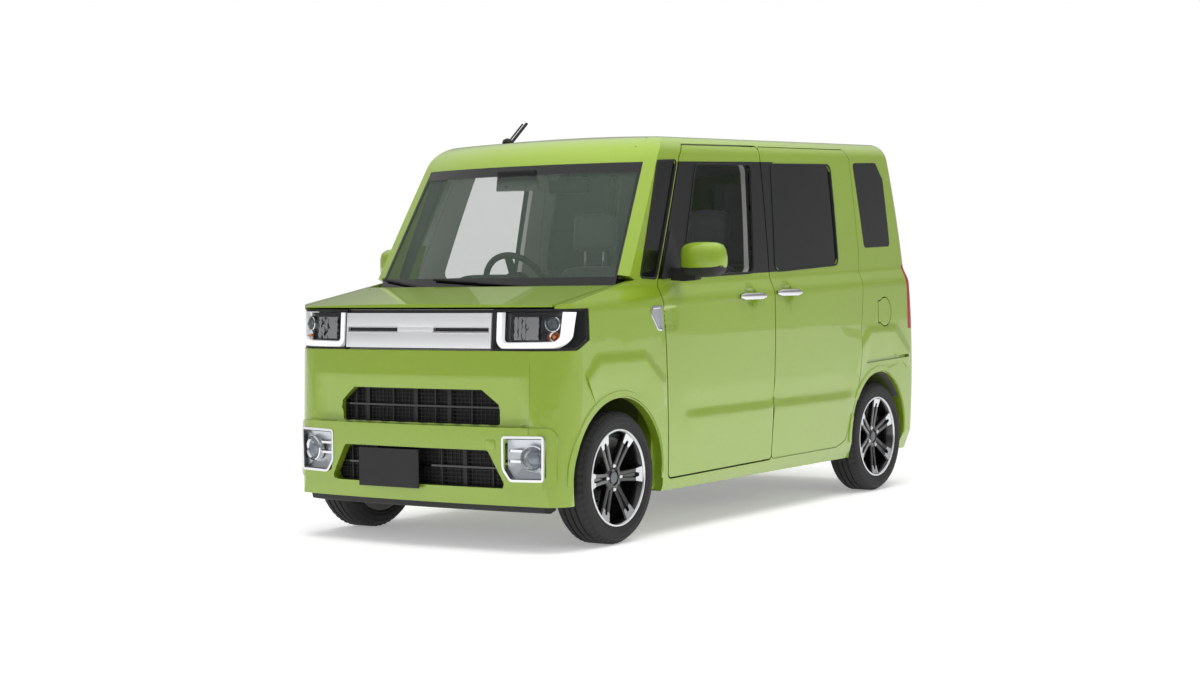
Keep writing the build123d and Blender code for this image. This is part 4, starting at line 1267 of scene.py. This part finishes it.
def dashboardSkin():
    d = dashSizes
    clay = Clay("interior_plastic", "black_plastic", "glossBlack", "satin")
    rings = []
    for k in range(25):
        y = -d["half"] + 2 * d["half"] * k / 24
        sweep = 0.012 * (1 - (y / d["half"]) ** 2)
        reach = onCar("screen", max(min(y, 0.6), -0.6), 1.135)[0].x - 0.045
        line = d["face"] + [(0.760, d["top"]), (0.95, d["top"]), (reach, d["top"] - 0.004), (reach, 1.060),
                            (0.884, 1.050)]
        rings.append([(x - sweep if x < 0.9 else x, y, z) for x, z in line])
    clay.skin(rings)
    blob(clay.use(1), (0.690, -0.33, 1.105), (0.075, 0.160, 0.040), 0.0, 0.5)
    clay.use(2).skin([[(x, -half, low), (x, half, low), (x, half, high), (x, -half, high)]
                      for x, half, low, high in d["screen"]])
    for y in d["vents"]:
        dashVent(clay, y)
    for y in d["knobs"]:
        knob = [(0.019, 0.0), (0.018, 0.016), (0.002, 0.018)]
        clay.use(3).lathe(knob, (0.722, y, d["knobHigh"]), (-1, 0, 0), 24)
    start, way = column["start"], column["way"]
    clay.use(1).tube([start + way * along for along in (0.046, 0.12, 0.30)], [0.034, 0.040, 0.046], 20)
    for side in sideNames:  # stalks
        root, tip = Vector((0, side * 0.03, 0)), Vector((0, side * 0.135, 0.01))
        clay.tube([start + way * 0.09 + root, start + way * 0.085 + tip], [0.009, 0.007], 10)
    clay.done("dashboardSkin", "body", "interior_plastic", ["dashboard"], 0, 35)


def steeringHub():
    clay = Clay("black_plastic", "satin")
    turn = column["way"].to_track_quat("Z", "X").to_matrix()
    blob(clay.use(0), (0, 0, -0.016), (0.072, 0.080, 0.020), 0.0, 0.6)
    section = (-0.012, -0.012), (0.012, -0.012), (0.009, -0.004), (-0.009, -0.004)
    for s in (-1, 1):
        clay.use(1).skin([[(s * r, w, z) for w, z in section] for r in (0.060, 0.165)])
    for v in clay.mesh.verts:
        v.co = column["start"] + turn @ Vector((v.co.y, v.co.x, v.co.z))
    clay.done("steeringHub", "steering_wheel", "interior_plastic", (), 0, 40)


trimSizes = {"front": [(0, (0.215, 0.660, 0.835), (0.245, 0.028, 0.034), 0.4),  # coat, middle, half, edge
                       (1, (0.240, 0.677, 0.960), (0.260, 0.010, 0.075), 0.3),
                       (0, (0.300, 0.668, 0.440), (0.250, 0.020, 0.070), 0.35)],
             "rear": [(0, (-0.540, 0.660, 0.835), (0.260, 0.026, 0.034), 0.4),
                      (1, (-0.560, 0.677, 0.965), (0.300, 0.010, 0.075), 0.3)],
             "pull": [(0.46, 0.672, 0.935), (0.43, 0.664, 0.935), (0.37, 0.664, 0.937)]}


def doorTrims():
    for side, name in sideNames.items():
        clay = Clay("interior_plastic", "cloth", "chrome")
        for coat, middle, half, sharp in trimSizes["front"]:
            blob(clay.use(coat), middle, half, 0.0, sharp)
        clay.use(2).tube(trimSizes["pull"], [0.008, 0.007, 0.005], 10)
        clay.done("doorTrim_" + name, name + "_door", "interior_plastic", (), 0, 40, side < 0)
        clay = Clay("interior_plastic", "cloth")
        for coat, middle, half, sharp in trimSizes["rear"]:
            blob(clay.use(coat), middle, half, 0.0, sharp)
        clay.done("slideTrim_" + name, "body", "interior_plastic", (), 0, 40, side < 0)


liningSizes = {"across": (-0.56, -0.5, -0.38, -0.2, 0, 0.2, 0.38, 0.5, 0.56), "half": 0.56, "high": 1.715,
               "bow": 0.045, "front": 0.56, "long": 1.96, "thick": 0.008}


def headLining():
    s = liningSizes
    clay = Clay("headlining")
    rings = []
    for k in range(25):
        x = s["front"] - s["long"] * k / 24
        drop = 0.03 * max(0, (abs(x + 0.42) - 0.75) / 0.25) ** 2
        line = [(y, s["high"] - s["bow"] * (y / s["half"]) ** 4 - drop) for y in s["across"]]
        rings.append([(x, y, z) for y, z in line] + [(x, y, z + s["thick"]) for y, z in line[::-1]])
    clay.skin(rings)
    clay.done("headLining", "body", "interior_plastic", (), 0, 40)


makeSeats()
seatFrames()
headLining()
dashboardSkin()
steeringHub()
doorTrims()
print("interior made")

lipSizes = {"half": 0.63, "steps": 30,  # section: set back, z
            "section": ((0.090, 0.205), (0.012, 0.200), (0.022, 0.168), (0.060, 0.160), (0.100, 0.172))}


def frontLip():
    s = lipSizes
    clay = Clay("black_plastic")
    rings = []
    for k in range(s["steps"] + 1):
        y = -s["half"] + 2 * s["half"] * k / s["steps"]
        front = onCar("nose", y, 0.205)[0].x
        rings.append([(front - back, y, z) for back, z in s["section"]])
    clay.skin(rings)
    clay.done("frontLip", "body", "black_plastic", (), 0, 40)


def oblong(y0, y1, z0, z1, radius):  # an outline with rounded corners
    return rounded(((y0, z0), (y1, z0), (y1, z1), (y0, z1)), radius)


def towCap():
    clay = Clay("paint")
    outline = oblong(0.378, 0.424, 0.424, 0.464, 0.006)
    clay.skin([[noseSpot(p, d) for p in outline] for d in (-0.002, 0.0022)])
    clay.done("towCap", "body", "paint", (), 0.0008, 40)


tailSizes = {"cells": ((0.905, 0), (0.985, 1), (1.065, 0)),  # height, coat
             "cell": (0.600, 0.700, 0.032), "rim": 0.005,
             "bar": ((-0.002, 1.000), (0.012, 1.004), (0.014, 1.030), (-0.002, 1.040)), "barHalf": 0.24,
             "wiper": (0.0, -0.12, -0.26, -0.40), "wiperHigh": 1.205}


def tailLampCells():
    clay = Clay("red_lens", "lens", "satin")
    y0, y1, tall = tailSizes["cell"]
    for side in sideNames:
        place = standing("tail", (-1, 0, 0), side)
        for z, coat in tailSizes["cells"]:
            outline = oblong(y0, y1, z - tall, z + tall, 0.012)
            inner = shrunk(outline, tailSizes["rim"])
            clay.use(2 if coat else 0).frame(outline, inner, place, -0.002, 0.003)
            clay.use(coat).patch(inner, place, 0.0015, 0.0, 3)
    clay.done("tailLampCells", "body", "red_lens", (), 0, 40)


def tailTrim():
    s = tailSizes
    clay = Clay("glossBlack", "black_plastic")
    rings = []
    for k in range(25):  # handle bar
        y = -s["barHalf"] + 2 * s["barHalf"] * k / 24
        back = onCar("tail", y, 1.02)[0].x
        rings.append([(back - proud, y, z) for proud, z in s["bar"]])
    clay.skin(rings)
    hub = onCar("tail", 0.0, s["wiperHigh"])[0]
    clay.use(1).lathe([(0.022, -0.004), (0.022, 0.010), (0.014, 0.018), (0.001, 0.019)], hub, (-1, 0, 0), 24)
    away = Vector((-0.016, 0, 0))
    arm = [onCar("tail", y, s["wiperHigh"] + 0.015 * y)[0] + away for y in s["wiper"]]
    clay.tube(arm, [0.009, 0.007, 0.006, 0.005], 8)
    clay.done("tailTrim", "tailgate", "black_plastic", (), 0, 40)


archSizes = {"arches": {"front": (1.215, 0.353, 0.337), "rear": (-1.240, 0.324, 0.336)},  # x, reach, rise
             "z": 0.300, "wide": 0.032, "proud": 0.006}


def archLips():
    a = archSizes
    for key, (x, reach, tall) in a["arches"].items():
        turns = [math.radians(-4 + 188 * k / 42) for k in range(43)]
        path = [Vector((x + reach * math.cos(t), a["z"] + tall * math.sin(t))) for t in turns]
        for side in sideNames:
            clay = Clay("paint")
            clay.ribbon("flank", path, a["wide"], a["proud"], 0.004, False)
            clay.done(f"{key}ArchLip_{sideNames[side]}", "body", "paint", (), 0, 50, side < 0)


archLips()
frontLip()
towCap()
tailLampCells()
tailTrim()
print("outer trim made")
